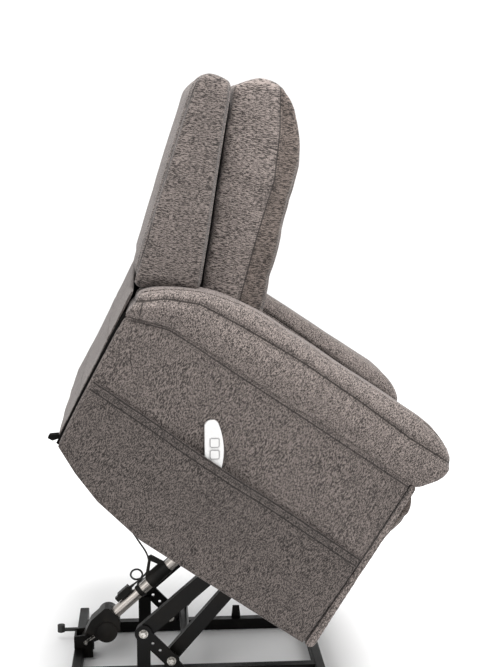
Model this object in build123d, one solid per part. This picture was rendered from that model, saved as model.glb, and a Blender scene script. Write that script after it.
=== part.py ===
from build123d import *
import math
import os

# Lift recliner chair, drawn at the top of its lift. Millimetres, +X to the chair's front,
# +Y to the sitter's left, +Z up, floor at z = 0. Pieces of the chair proper are drawn as the
# chair sits on the floor, with x = 0 at the side panel's front lower corner, and are then
# carried to the raised pose by RAISE.

# ---------------------------------------------------------------- lift pose
chair_tilt = 34.0                 # nose-down tilt at the top of the lift, degrees
floor_gap = 38.0                  # side panel's front corner above the floor, seated
corner_x = 139.0                  # the same corner at the top of the lift
corner_z = 169.0
seated_advance = 280.0            # where that corner stands along X when the chair is down
upper_link_raised = 41.0          # slope of the upper links at the top of the lift
lower_link_raised = 49.0
centring = 16.0                   # moves every piece along X, so that the footprint's middle is at 0

RAISE = Pos(corner_x, 0, corner_z) * Rot(0, chair_tilt, 0) * Pos(0, 0, -floor_gap)

# ---------------------------------------------------------------- upholstery
half_width = 410.0                # arm pad's outer face
arm_overhang = 10.0               # arm pad past the side cover
seat_half = 262.0                 # half the width between the arms
soft_gap = 4.0                    # cushions to arms and to each other
thin_gap = 1.0                    # covers to the frames behind them
side_length = 785.0
arm_seam_z = 500.0                # lower seam of the arm pad
arm_depth = 130.0                 # arm pad, seam to crest
arm_nose = 24.0                   # arm pad past the front panel's foot
arm_round = 26.0
cover_thick = 18.0
frame_thick = 14.0
pocket_top_front = 287.0
pocket_top_rear = 304.0
pocket_sheet = 3.0
pocket_bulge = 21.0               # clear depth of the pocket at the handset
back_half = 345.0                 # back shell, wider than the seat
shell_rise = 406.0                # back shell above the arm's crest
cushion_rise = 465.0              # back cushion above the arm's crest
board_thick = 6.0
seat_front_z = 490.0
seat_rear_z = 480.0
seat_under_z = 352.0
skirt_half = 380.0                # half the rear panel's width
skirt_thick = 7.0
batten_length = 22.0              # batten end showing below the rear panel
skirt_split_z = 394.0             # above this height it folds when the back reclines

arm_top_z = arm_seam_z + arm_depth
cover_out = half_width - arm_overhang
cover_in = cover_out - cover_thick
frame_out = cover_in - thin_gap
frame_in = frame_out - frame_thick
arm_in = seat_half + soft_gap

# ---------------------------------------------------------------- seat frame
rail_tube_w = 25.0
rail_tube_h = 40.0
seat_rail_in = 176.0              # inner face of the seat's steel side rails
seat_rail_z = 285.0
seat_rail_front = -110.0
seat_rail_rear = -696.0
cross_rail_t = 24.0
cross_rail_h = 60.0
strap_count = 5
strap_width = 50.0
strap_pitch = 75.0
strap_thick = 3.0

# ---------------------------------------------------------------- base
rail_half = 160.0                 # centre line of the floor rails
base_tube_w = 25.0
base_tube_h = 30.0
glide_h = 3.0
glide_r = 14.0
cross_tube_half = 259.0
rear_tube_x = -433.0
front_tube_x = 188.0
cap_thick = 3.0
post_x = -261.0
post_w = 34.0
post_top = 104.0
plate_t = 5.0
strap_w = 36.0
rail_top = glide_h + base_tube_h

# ---------------------------------------------------------------- lift linkage
A = (-261.0, 128.0)               # upper link's floor pivot (x, z)
B = (-191.0, 54.0)                # lower link's floor pivot
P = (-414.0, 50.0)                # actuator's floor pivot
Q_seated = (-230.0, 265.0)        # actuator's pivot on the chair frame
upper_link_w = 39.0
lower_link_w = 35.0
link_tube_t = 22.0                # the links' size across the chair
link_gap = 1.0
plate_in = 170.0                  # inner face of the floor stands' plates
pin_r = 8.0
pin_clear = 0.08
bolt_head_r = 9.5
bolt_head_h = 6.0
upper_cross_at = 230.0            # cross tube's place along the upper links
lower_cross_at = 55.0
upper_cross_r = 13.0
lower_cross_r = 12.0

# ---------------------------------------------------------------- actuator
housing_half = 22.0
cheek_gap = 2.0
cheek_t = 5.0
clevis_pin_r = 5.0
tube_r = 15.0
tube_wall = 3.0
tube_start = 104.0                # distances along the actuator from P
tube_end = 470.0
gland_len = 16.0
rod_r = 10.0
rod_start = 262.0
rod_eye_r = 20.0
rod_eye_half = 7.0
lug_in = rod_eye_half + 3         # lugs beside the rod's eye
lug_t = 5.0
motor_r = 27.0
motor_len = 105.0
motor_at = (56.0, -18.0)          # along the actuator, and above its axis

# ---------------------------------------------------------------- recliner parts
recline_pivot = (-640.0, 330.0)
bracket_t = 6.0
leg_bar_w = 24.0
leg_bar_t = 6.0
leg_pin_r = 6.0
leg_E = (-130.0, 262.0)           # leg rest: frame pivot, elbow and board pivot
leg_J = (-156.0, 114.0)
leg_G = (-38.0, 330.0)
leg_plane = 204.0                 # inner face of the drive arms
leg_step = 7.5                    # one bar's thickness and its side clearance
board_rear = -24.0
leg_board_t = 14.0
leg_pad_top = 474.0
leg_pad_foot = 150.0

# ---------------------------------------------------------------- handset
handset_t = 16.0
handset_back_y = -402.3           # the pocket has to be deeper than this and the handset together
handset_left = -113.0
handset_top = 733.0
handset_foot = 588.0
button_w = 23.0
button_h = 23.0
button_proud = 1.4
button_gap = 0.4
button_deep = 4.0
button_x = -90.0
button_z = (682.0, 654.5)

# ---------------------------------------------------------------- control box and motor cable
box_at = (-600.0, 78.0, 262.0)
box_len = 120.0
box_wide = 70.0
box_tall = 44.0
cable_r = 2.5
cable_clear = 1.0                 # cable's ends to the box and to the plug


# ================================================================ helpers
def turn(point, degrees):
    """Turn an (x, z) offset nose-up by the angle."""
    a = math.radians(degrees)
    x, z = point
    return (x * math.cos(a) - z * math.sin(a), x * math.sin(a) + z * math.cos(a))


def raised(point):
    """Where a seated (x, z) point of the chair lies at the top of the lift."""
    x, z = turn((point[0], point[1] - floor_gap), -chair_tilt)
    return (x + corner_x, z + corner_z)


def slab(outline, y0, y1):
    """A face in the XZ plane made into a solid from y0 to y1."""
    return extrude(Plane.XZ.offset(-y1) * outline, amount=y1 - y0)


def area(points):
    return make_face(Polyline(*points, close=True))


def nearest(face, point):
    """The corner of a face that lies at a point."""
    return min(face.vertices(), key=lambda v: math.hypot(v.X - point[0], v.Y - point[1]))


def disc(centre, radius):
    return Pos(*centre) * Circle(radius)


def rod_y(centre, radius, y0, y1):
    return slab(disc(centre, radius), y0, y1)


def strip(a, b, width):
    """A bar with round ends between two (x, z) points."""
    dx, dz = b[0] - a[0], b[1] - a[1]
    angle = math.degrees(math.atan2(dz, dx))
    middle = Pos((a[0] + b[0]) / 2, (a[1] + b[1]) / 2) * Rot(0, 0, angle)
    return middle * Rectangle(math.hypot(dx, dz), width) + disc(a, width / 2) + disc(b, width / 2)


def both(solid):
    """A right-hand solid and its left-hand mirror image, as two solids."""
    return Compound(children=[solid, mirror(solid, about=Plane.XZ)])


def handed(solid, side):
    """Right-hand solids are drawn; the left-hand ones are their mirror images."""
    return solid if side == "right" else mirror(solid, about=Plane.XZ)


def right(y_in, y_out):
    """The pair of Y values for a right-hand solid between two distances from the middle."""
    return -y_out, -y_in


def centred(shape):
    """The piece moved along X by centring, solid by solid."""
    solids = [Pos(centring, 0, 0) * solid for solid in shape.solids()]
    return solids[0] if len(solids) == 1 else pair_up(solids)


def pair_up(solids):
    return Compound(children=list(solids))


def solve_link(pivot, slope):
    """Length, and moving pivot in chair coordinates, of a link that joins both end poses."""
    px, pz = turn((pivot[0] - corner_x, pivot[1] - corner_z), chair_tilt)
    ax, az = px + seated_advance - pivot[0], pz + floor_gap - pivot[1]
    ux, uz = turn((math.cos(math.radians(slope)), math.sin(math.radians(slope))), chair_tilt)
    length = -(ax * ax + az * az) / (2 * (ax * ux + az * uz))
    return length, (px + length * ux, pz + floor_gap + length * uz)


def along(pivot, slope, distance):
    a = math.radians(slope)
    return (pivot[0] + distance * math.cos(a), pivot[1] + distance * math.sin(a))


upper_len, C_seated = solve_link(A, upper_link_raised)
lower_len, D_seated = solve_link(B, lower_link_raised)
C = raised(C_seated)
D = raised(D_seated)
Q = raised(Q_seated)
actuator_len = math.hypot(Q[0] - P[0], Q[1] - P[1])
actuator_slope = math.degrees(math.atan2(Q[1] - P[1], Q[0] - P[0]))
ACTUATOR = Pos(P[0], 0, P[1]) * Rot(0, -actuator_slope, 0)

upper_in = plate_in - link_gap - link_tube_t
upper_out = plate_in - link_gap
lower_out = upper_in - 3 * link_gap
lower_in = lower_out - link_tube_t


# ================================================================ base
def base_rail():
    y0, y1 = right(rail_half - base_tube_w / 2, rail_half + base_tube_w / 2)
    x0 = rear_tube_x + base_tube_w / 2
    x1 = front_tube_x - base_tube_w / 2
    middle = Pos((x0 + x1) / 2, glide_h + base_tube_h / 2)
    return slab(middle * Rectangle(x1 - x0, base_tube_h), y0, y1)


def base_cross_tube(x):
    middle = Pos(x, glide_h + base_tube_h / 2)
    profile = middle * RectangleRounded(base_tube_w, base_tube_h, 3)
    return slab(profile, -cross_tube_half, cross_tube_half)


def tube_end_caps():
    caps = []
    for x in (rear_tube_x, front_tube_x):
        profile = Pos(x, glide_h + base_tube_h / 2) * RectangleRounded(base_tube_w, base_tube_h, 3)
        caps.append(slab(profile, cross_tube_half, cross_tube_half + cap_thick))
        caps.append(slab(profile, -cross_tube_half - cap_thick, -cross_tube_half))
    return pair_up(caps)


def base_glides():
    pads = []
    inset = cross_tube_half - 2 * glide_r
    for x in (rear_tube_x, front_tube_x):
        for y in (-inset, inset):
            pads.append(Pos(x, y, 0) * extrude(Circle(base_tube_w / 2), amount=glide_h))
    return pair_up(pads)


def lift_stand():
    """Post on the floor rail, and the plate that carries both link pivots."""
    post = Pos(post_x, (rail_top + post_top) / 2) * Rectangle(post_w, post_top - rail_top)
    stand = slab(post, *right(upper_in, upper_out))
    foot = (B[0] + 14, rail_top)
    plate = disc(A, 22) + strip(A, B, strap_w) + disc(B, strap_w / 2 + 2)
    plate += area([(B[0] - 19, B[1]), (B[0] - 19, rail_top), (foot[0] + 22, rail_top), (B[0] + 19, B[1])])
    plate += Pos(post_x, (rail_top + A[1]) / 2) * Rectangle(post_w, A[1] - rail_top)
    for share in (0.36, 0.62):
        hole = (A[0] + share * (B[0] - A[0]) - 2, A[1] + share * (B[1] - A[1]))
        plate -= disc(hole, 4)
    plate -= disc(A, pin_r + pin_clear)
    plate -= disc(B, pin_r + pin_clear)
    flat = slab(plate, *right(upper_out, plate_in + plate_t))
    return stand + flat


def pivot_bolt(centre, inner, outer, head_in):
    """A shouldered bolt: shank, dome head outside and nut inside."""
    shank = rod_y(centre, pin_r, -outer, -inner)
    head = rod_y(centre, bolt_head_r, -outer - bolt_head_h, -outer)
    nut = rod_y(centre, bolt_head_r + 1, -inner, -head_in)
    return shank + head + nut


def lift_pivot_bolts():
    outer = plate_in + plate_t
    upper = pivot_bolt(A, upper_in - link_gap, outer, upper_in - 7)
    lower = pivot_bolt(B, lower_in - link_gap, outer, lower_in - 7)
    sleeve = rod_y(B, pin_r + 5, -upper_out, -lower_out - link_gap)
    lower = lower + sleeve
    bolts = [upper, lower]
    return pair_up(bolts + [mirror(b, about=Plane.XZ) for b in bolts])


def actuator_clevis():
    rear = rear_tube_x - base_tube_w / 2
    front = rear_tube_x + base_tube_w / 2
    cheek = area([
        (rear, rail_top), (rear, P[1] + 16), (P[0] + 4, P[1] + 20),
        (P[0] + 18, P[1] + 8), (P[0] + 18, glide_h + 4), (front, glide_h + 4), (front, rail_top),
    ])
    cheek -= disc(P, clevis_pin_r + pin_clear)
    inner = housing_half + cheek_gap
    near = slab(cheek, -inner - cheek_t, -inner)
    far = slab(cheek, inner, inner + cheek_t)
    web = area([(rear, rail_top), (rear, P[1] + 14), (rear + 5, P[1] + 14), (rear + 5, rail_top)])
    return near + far + slab(web, -inner - cheek_t, inner + cheek_t)


def clevis_pin():
    reach = housing_half + cheek_gap + cheek_t
    pin = rod_y(P, clevis_pin_r, -reach - 8, reach + 2)
    head = rod_y(P, clevis_pin_r + 3, reach + 2, reach + 6)
    clip_y = -reach - 4.5
    clip_at = Pos(P[0], clip_y, P[1]) * Rot(0, -35, 0)
    clip = clip_at * Pos(clevis_pin_r + 6, 0, 0) * Box(34, 2.4, 2.4)
    loop = clip_at * Pos(clevis_pin_r + 6, 0, 5) * Box(30, 2.4, 2.4)
    bow = clip_at * Pos(clevis_pin_r + 22, 0, 2.5) * Box(2.4, 2.4, 7.4)
    return pin + head + clip + loop + bow


def rear_bumper():
    """Short arm behind the rear tube with a rubber foot, left of the middle."""
    y = 115.0
    rear = rear_tube_x - base_tube_w / 2
    arm = Pos(rear - 21, y, rail_top - 4) * Box(42, 10, 7)
    foot = Pos(rear - 44, y, rail_top) * extrude(Ellipse(10, 9), amount=10, both=True)
    return arm + foot


def supply_tab():
    """Upright tab on the left floor rail."""
    foot_w, top_w, tall = 26.0, 18.0, 34.0
    x = -7.0
    tab = area([
        (x - foot_w / 2, rail_top), (x + foot_w / 2, rail_top),
        (x + top_w / 2, rail_top + tall), (x - top_w / 2, rail_top + tall),
    ])
    return slab(tab, rail_half + 2, rail_half + 6)


# ================================================================ lift links
def lift_link(pivot, end, width, y_in, y_out):
    bar = strip(pivot, end, width) - disc(pivot, pin_r + pin_clear) - disc(end, pin_r + pin_clear)
    return slab(bar, *right(y_in, y_out))


def upper_cross_tube():
    at = along(A, upper_link_raised, upper_cross_at)
    ring = disc(at, upper_cross_r) - disc(at, upper_cross_r - 2.5)
    return slab(ring, -upper_in, upper_in)


def lower_cross_tube():
    at = along(B, lower_link_raised, lower_cross_at)
    ring = disc(at, lower_cross_r) - disc(at, lower_cross_r - 2.5)
    return slab(ring, -lower_in, lower_in)


# ================================================================ actuator
def gear_housing():
    """Cast housing, drawn along the actuator's own axis from its rear pivot."""
    body = disc((0, 0), 14)
    body += area([(0, 13), (46, 33), (96, 33), (tube_start, 26), (tube_start, -16), (84, -40), (6, -13)])
    body += disc(motor_at, 29)
    body -= disc((0, 0), clevis_pin_r + pin_clear)
    housing = slab(body, -housing_half, housing_half)
    for screw_at in (20, 110, 200, 290):
        offset = turn((21.0, 0), screw_at)
        centre = (motor_at[0] + offset[0], motor_at[1] + offset[1])
        housing = housing + rod_y(centre, 3.2, -housing_half - 2, -housing_half)
    return ACTUATOR * housing


def motor_can():
    can = rod_y(motor_at, motor_r, housing_half, housing_half + motor_len)
    nose = rod_y(motor_at, 9, housing_half + motor_len, housing_half + motor_len + 6)
    return ACTUATOR * (can + nose)


def x_rod(radius, x0, x1):
    return Pos(x0, 0, 0) * Rot(0, 90, 0) * extrude(Circle(radius), amount=x1 - x0)


def actuator_tube():
    """Outer tube with its end gland, the clamp round it and the cable guide's plate."""
    tube = x_rod(tube_r, tube_start, tube_end) - x_rod(tube_r - tube_wall, tube_start, tube_end)
    gland = x_rod(tube_r, tube_end - gland_len, tube_end) - x_rod(rod_r + 0.1, tube_start, tube_end)
    return ACTUATOR * (tube + gland)


def cable_clips():
    """The finned guide and the plain clamp, both round the actuator's outer tube."""
    fin = area([(226, tube_r + 1.5), (226, tube_r + 3), (273, 56), (280, 54), (292, tube_r + 3), (292, tube_r + 1.5)])
    ring = x_rod(tube_r + 3, 226, 292) - x_rod(tube_r + 0.05, 226, 292)
    window = area([(246, tube_r + 8), (268, 42), (276, tube_r + 8)])
    guide = slab(fin - window, -3, 3) + ring
    clamp = x_rod(tube_r + 2.5, 188, 200) - x_rod(tube_r + 0.05, 188, 200)
    return pair_up([ACTUATOR * guide, ACTUATOR * clamp])


def motor_plug():
    """Cable plug strapped along the top of the tube, with the lead's entry at its upper end."""
    body = Pos(160, 0, tube_r + 10) * Box(36, 20, 19)
    nose = Pos(136, 0, tube_r + 9) * Box(12, 14, 13)
    return ACTUATOR * (body + nose)


def actuator_rod():
    rod = x_rod(rod_r, rod_start, actuator_len - rod_eye_r + 4)
    eye = disc((actuator_len, 0), rod_eye_r) - disc((actuator_len, 0), clevis_pin_r + 1)
    return ACTUATOR * (rod + slab(eye, -rod_eye_half, rod_eye_half))


# ================================================================ chair: steel frame
def lift_mount():
    """Plate under the seat rail that carries both moving pivots of the lift."""
    top = seat_rail_z + rail_tube_h
    plate = area([
        (C_seated[0] - 60, top), (D_seated[0] + 30, top),
        (D_seated[0] + 17, D_seated[1]), (C_seated[0] - 20, C_seated[1]),
    ])
    plate += disc(C_seated, 20) + disc(D_seated, 17) + strip(C_seated, D_seated, 30)
    plate -= disc(C_seated, pin_r + pin_clear)
    plate -= disc(D_seated, pin_r + pin_clear)
    return RAISE * slab(plate, *right(plate_in, plate_in + plate_t))


def chair_pivot_bolts():
    """Bolts at the links' upper ends, the lower pair stopping beside its link, and the
    studs in the actuator's lugs, which stop beside the rod's eye."""
    outer = plate_in + plate_t
    upper = pivot_bolt(C_seated, upper_in - link_gap, outer, upper_in - 7)
    lower = rod_y(D_seated, pin_r, -outer, -lower_out - 2 * link_gap)
    lower = lower + rod_y(D_seated, bolt_head_r, -outer - bolt_head_h, -outer)
    lower = lower + rod_y(D_seated, pin_r + 4, -plate_in, -lower_out - 2 * link_gap)
    stud = rod_y(Q_seated, clevis_pin_r, -lug_in - lug_t, -lug_in)
    stud = stud + rod_y(Q_seated, clevis_pin_r + 3, -lug_in - lug_t - 5, -lug_in - lug_t)
    bolts = [RAISE * upper, RAISE * lower, RAISE * stud]
    return pair_up(bolts + [mirror(b, about=Plane.XZ) for b in bolts])


def lift_cross_tube():
    """Cross tube with the pair of lugs that the actuator pushes on."""
    centre = (Q_seated[0] + 33, Q_seated[1] + 40)
    ring = disc(centre, 15) - disc(centre, 12)
    tube = slab(ring, -plate_in, plate_in)
    lug = strip(Q_seated, centre, 34) - disc(centre, 14.9) - disc(Q_seated, clevis_pin_r + pin_clear)
    for y0 in (lug_in, -lug_in - lug_t):
        tube = tube + slab(lug, y0, y0 + lug_t)
    return RAISE * tube


def seat_side_rail():
    """Steel side rail, with the lugs of the recline pivot and of the leg rest's pivot."""
    x0, x1 = seat_rail_rear, seat_rail_front
    middle = Pos((x0 + x1) / 2, seat_rail_z + rail_tube_h / 2)
    y_in, y_out = seat_rail_in, seat_rail_in + rail_tube_w
    rail = slab(middle * Rectangle(x1 - x0, rail_tube_h), *right(y_in, y_out))
    lug_face = y_out - 5
    top = seat_rail_z + rail_tube_h
    back_lug = disc(recline_pivot, 20) + Pos(recline_pivot[0], top) * Rectangle(40, 14)
    rail = rail + slab(back_lug, *right(lug_face, y_out))
    leg_lug = disc(leg_E, 16) + Pos(leg_E[0], seat_rail_z - 6) * Rectangle(32, 34)
    rail = rail + slab(leg_lug, *right(lug_face, y_out))
    back_pin = rod_y(recline_pivot, pin_r, -leg_plane - bracket_t - 3, -lug_face)
    leg_pin = rod_y(leg_E, leg_pin_r, -leg_plane - leg_bar_t - 1, -lug_face)
    return RAISE * (rail + back_pin + leg_pin)


def cross_rail(x0):
    z = seat_rail_z + cross_rail_h / 2
    return RAISE * slab(Pos(x0 + cross_rail_t / 2, z) * Rectangle(cross_rail_t, cross_rail_h), -frame_in, frame_in)


def seat_straps():
    straps = []
    z = seat_rail_z + cross_rail_h
    x0 = seat_rail_rear - cross_rail_t
    x1 = seat_rail_front + cross_rail_t
    for k in range(strap_count):
        y = (k - (strap_count - 1) / 2) * strap_pitch
        strap = Pos((x0 + x1) / 2, y, z + strap_thick / 2) * Box(x1 - x0, strap_width, strap_thick)
        straps.append(RAISE * strap)
    return pair_up(straps)


# ================================================================ chair: arms and sides
def side_outline(inset=0.0, top=None):
    """Side panel: flat foot at the front, kicked-up foot at the rear."""
    top_z = arm_seam_z - thin_gap if top is None else top
    return area([
        (-24 - inset, floor_gap + 2 + inset),
        (-489, floor_gap + 6 + inset),
        (-624, floor_gap + 31 + inset),
        (-701, floor_gap + 59 + inset),
        (-side_length + 15 + inset, floor_gap + 92 + inset),
        (-side_length + 1 + inset, floor_gap + 202),
        (-side_length - 17 + inset, floor_gap + 368),
        (-side_length - 20 + inset, top_z - 36),
        (-700 + inset, top_z - 3),
        (-640, top_z),
        (-29 - inset, top_z),
    ])


def side_cover():
    return RAISE * slab(side_outline(), *right(cover_in, cover_out))


def side_frame():
    return RAISE * slab(side_outline(14.0), *right(frame_in, frame_out))


def arm_front():
    """Padded panel that closes the front of the arm."""
    foot = floor_gap
    panel = area([
        (-23, foot + 2), (-9, foot), (0, foot + 10),
        (-15, arm_seam_z - thin_gap), (-28, arm_seam_z - thin_gap),
    ])
    return RAISE * slab(panel, *right(arm_in, cover_out + 1.5))


def inner_arm():
    z0 = seat_rail_z + cross_rail_h + 5
    panel = area([(-32, z0), (-32, arm_seam_z - thin_gap), (-640, arm_seam_z - thin_gap), (-640, z0)])
    return RAISE * slab(panel, *right(arm_in + 2, arm_in + 18))


def arm_pad():
    """Pillow-topped arm: level crest, drooping rear end and a rounded nose at the front."""
    seam, top = arm_seam_z, arm_top_z
    rear = -side_length - 23
    outline = make_face(
        Polyline((-18, seam), (-640, seam), (-720, seam - 4), (rear + 2, seam - 36), (rear, top - 106))
        + ThreePointArc((rear, top - 106), (-706, top - 33), (-560, top))
        + Line((-560, top), (-60, top))
        + ThreePointArc((-60, top), (-15, top - 10), (arm_nose, top - 40))
        + ThreePointArc((arm_nose, top - 40), (17, seam + 44), (-18, seam))
    )
    pad = slab(outline, *right(arm_in, half_width))
    high_edges = [e for e in pad.edges() if e.length > 90 and e.center().Z > top - 60]
    crest = [e for e in high_edges if abs(e.bounding_box().size.Y) < 1]
    return RAISE * fillet(crest, arm_round)


def side_pocket():
    """Full-width pocket panel on the right side cover, bulged where the handset stands."""
    y_face = -cover_out - 0.3
    slope = (pocket_top_rear - pocket_top_front) / (side_length - 35)

    def hem(x):
        return pocket_top_front - slope * (x + 35)

    x_rear, x_front = -side_length + 2, -30
    bulge = (-590, -545, -375, -330)            # foot, crest, crest, foot along x
    floor_z = 196.0
    sheet = area([
        (x_front, floor_gap + 4), (-489, floor_gap + 8), (-624, floor_gap + 33), (-701, floor_gap + 61),
        (-side_length + 16, floor_gap + 94), (x_rear, hem(x_rear)), (x_front, hem(x_front)),
    ])
    mouth = area([
        (bulge[0], floor_z), (bulge[3], floor_z), (bulge[3], hem(bulge[3]) + 1), (bulge[0], hem(bulge[0]) + 1),
    ])
    panel = slab(sheet - mouth, y_face - pocket_sheet, y_face)
    depth = pocket_bulge
    ridge = [
        (bulge[0], y_face), (bulge[1], y_face - depth), (bulge[2], y_face - depth), (bulge[3], y_face),
        (bulge[3], y_face - pocket_sheet), (bulge[2] + 2, y_face - depth - pocket_sheet),
        (bulge[1] - 2, y_face - depth - pocket_sheet), (bulge[0], y_face - pocket_sheet),
    ]
    wall = extrude(Plane.XY.offset(floor_z) * area(ridge), amount=hem(bulge[0]) + 20 - floor_z)
    trim = slab(area([
        (bulge[0] - 1, floor_z - 1), (bulge[3] + 1, floor_z - 1),
        (bulge[3] + 1, hem(bulge[3] + 1)), (bulge[0] - 1, hem(bulge[0] - 1)),
    ]), y_face - 60, y_face + 10)
    wall = wall & trim
    shelf_face = area([
        (bulge[0], y_face), (bulge[1], y_face - depth), (bulge[2], y_face - depth), (bulge[3], y_face),
    ])
    shelf = extrude(Plane.XY.offset(floor_z) * shelf_face, amount=pocket_sheet)
    return RAISE * (panel + wall + shelf)


# ================================================================ chair: seat and rear
def seat_cushion():
    front, rear = board_rear - 6, -600.0
    outline = make_face(
        Polyline((rear, seat_rear_z), (rear, seat_under_z), (front, seat_under_z), (front, seat_front_z - 50))
        + ThreePointArc((front, seat_front_z - 50), (front - 14, seat_front_z - 14), (front - 50, seat_front_z))
        + Line((front - 50, seat_front_z), (rear, seat_rear_z))
    )
    return RAISE * slab(outline, -seat_half, seat_half)


def skirt_panel(outer):
    """A thin upholstered panel whose outer face follows the given side outline."""
    inner = [(x + skirt_thick, z) for x, z in reversed(outer)]
    return slab(area(outer + inner), -skirt_half, skirt_half)


def rear_skirt():
    """Thin panel across the rear, fixed to the frame, with a batten end at its foot on the right side."""
    panel = skirt_panel([
        (-781, 145), (-784, 191), (-789.5, 239), (-797, 305), (-803, 355), (-810, skirt_split_z - 1),
    ])
    batten = area([(-796, 129), (-783, 132), (-774, 145), (-774, 150), (-781, 150), (-797, 137)])
    return RAISE * (panel + slab(batten, -skirt_half, -skirt_half + batten_length))


def rear_skirt_top():
    """Upper run of the rear panel; it folds out of the way as the back reclines."""
    return RAISE * skirt_panel([(-810, skirt_split_z), (-818, 467), (-824, 520)])


def control_box():
    x, y, z = box_at
    return RAISE * (Pos(x, y, z) * Box(box_len, box_wide, box_tall))


# ================================================================ backrest
def lean(z):
    """x of the back board's front face at a height: it follows the shell's front edge."""
    return -684 - (z - 608) * 192 / 410


def back_shell():
    """Upholstered outer back, wider than the cushion, its foot sloped to clear the arms."""
    top = arm_top_z + shell_rise
    corners = [
        (lean(arm_top_z - 20) - board_thick - 1, arm_top_z - 20), (-831, arm_top_z - 102),
        (-976, top - 14), (lean(top - 2) - board_thick - 1, top - 2),
    ]
    outline = area(corners)
    for corner, radius in zip(corners, (13, 13, 42, 13)):
        outline = fillet([nearest(outline, corner)], radius)
    shell = slab(outline, -back_half, back_half)
    rims = [e for e in shell.edges() if abs(abs(e.center().Y) - back_half) < 1e-3 and e.bounding_box().size.Y < 1]
    return RAISE * fillet(rims, 10)


def back_board():
    z0, z1 = 500.0, arm_top_z + shell_rise - 40
    board = area([
        (lean(z0), z0), (lean(z1), z1), (lean(z1) - board_thick, z1), (lean(z0) - board_thick, z0),
    ])
    return RAISE * slab(board, -seat_half + 14, seat_half - 14)


def back_cushion():
    top = arm_top_z + cushion_rise
    z0 = seat_front_z + 8
    outline = make_face(
        Polyline((lean(z0) + 1, z0), (-482, z0), (-559, 708), (-629, top - 191), (-654, top - 121))
        + ThreePointArc((-654, top - 121), (-697, top - 51), (-755, top - 7))
        + ThreePointArc((-755, top - 7), (-800, top), (-843, top - 13))
        + Line((-843, top - 13), (lean(top - 60) + 1, top - 60))
        + Line((lean(top - 60) + 1, top - 60), (lean(z0) + 1, z0))
    )
    return RAISE * slab(outline, -seat_half, seat_half)


def recline_bracket():
    """Steel strap from the recline pivot to the back board's rear."""
    z0, z1 = 502.0, 585.0
    strap = disc(recline_pivot, 20)
    strap += area([
        (recline_pivot[0] - 20, recline_pivot[1]), (recline_pivot[0] + 18, recline_pivot[1]),
        (lean(z0) - board_thick, z0), (lean(z1) - board_thick, z1),
        (lean(z1) - board_thick - 12, z1 - 4), (lean(z0) - board_thick - 26, z0),
    ])
    strap -= disc(recline_pivot, pin_r + pin_clear)
    return RAISE * slab(strap, *right(leg_plane, leg_plane + bracket_t))


# ================================================================ leg rest
def leg_bar(a, b, layer):
    bar = strip(a, b, leg_bar_w) - disc(a, leg_pin_r + pin_clear)
    y_in = leg_plane + layer * leg_step
    return slab(bar, *right(y_in, y_in + leg_bar_t)), y_in


def leg_drive_arm():
    bar, y_in = leg_bar(leg_E, leg_J, 0)
    stud = rod_y(leg_J, leg_pin_r, -y_in - leg_step - leg_bar_t - 1, -y_in)
    return RAISE * (bar + stud)


def leg_link():
    bar, y_in = leg_bar(leg_J, leg_G, 1)
    stud = rod_y(leg_G, leg_pin_r, -y_in - leg_step - leg_bar_t - 1, -y_in)
    return RAISE * (bar + stud)


def leg_board():
    """Board behind the leg pad, with a lug on each side for the leg rest's links."""
    z0, z1 = leg_pad_foot + 14, leg_pad_top - 16
    x0 = board_rear
    board = slab(area([(x0, z0), (x0, z1), (x0 + leg_board_t, z1), (x0 + leg_board_t, z0)]), -seat_half + 10, seat_half - 10)
    lug = disc(leg_G, 13) + Pos((leg_G[0] + x0) / 2 + 2, leg_G[1]) * Rectangle(x0 - leg_G[0] + 4, 44)
    lug -= disc(leg_G, leg_pin_r + pin_clear)
    y_in = leg_plane + 2 * leg_step
    plate = slab(lug, *right(y_in, y_in + leg_bar_t))
    return RAISE * (board + plate + mirror(plate, about=Plane.XZ))


def leg_pad():
    x0 = board_rear + leg_board_t + thin_gap
    outline = make_face(
        Polyline((24, leg_pad_top), (x0, leg_pad_top), (x0, leg_pad_foot), (6, leg_pad_foot))
        + ThreePointArc((6, leg_pad_foot), (38, 292), (54, 385))
        + ThreePointArc((54, 385), (49, 447), (24, leg_pad_top))
    )
    return RAISE * slab(outline, -seat_half + 4, seat_half - 4)


# ================================================================ handset
def handset_body():
    """Curved white hand control, standing upright in the pocket, with a pocket for each button."""
    mid = (handset_top + handset_foot) / 2
    outline = make_face(
        Polyline((handset_left + 26, handset_foot), (handset_left, handset_foot + 4), (handset_left, handset_top - 12))
        + ThreePointArc((handset_left, handset_top - 12), (handset_left + 7, handset_top - 3), (handset_left + 18, handset_top))
        + ThreePointArc((handset_left + 18, handset_top), (handset_left + 27, handset_top - 2), (handset_left + 33, handset_top - 10))
        + ThreePointArc((handset_left + 33, handset_top - 10), (handset_left + 44, mid + 8), (handset_left + 26, handset_foot))
    )
    body = slab(outline, handset_back_y - handset_t, handset_back_y)
    face = [e for e in body.edges() if e.bounding_box().size.Y < 0.01]
    body = fillet(face, 2.5)
    front = handset_back_y - handset_t
    for z in button_z:
        size = (button_w + 2 * button_gap, button_h + 2 * button_gap)
        hole = Pos(button_x, z) * RectangleRounded(*size, 4.4)
        body -= slab(hole, front - 1, front + button_deep)
    return body


def handset_button(z):
    front = handset_back_y - handset_t
    cap = Pos(button_x, z) * RectangleRounded(button_w, button_h, 4)
    return slab(cap, front - button_proud, front + button_deep - 1.6)


# ================================================================ motor cable
def motor_cable():
    """Lead from the control box down to the plug on the actuator, with one slack loop."""
    route = cable_route()
    path, radii = cable_path(route)
    print("tightest cable bend", round(min(radii), 1), "length", round(path.length, 1))
    start = Plane(origin=path @ 0, z_dir=path % 0)
    return sweep(start * Circle(cable_r), path=path)


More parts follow.
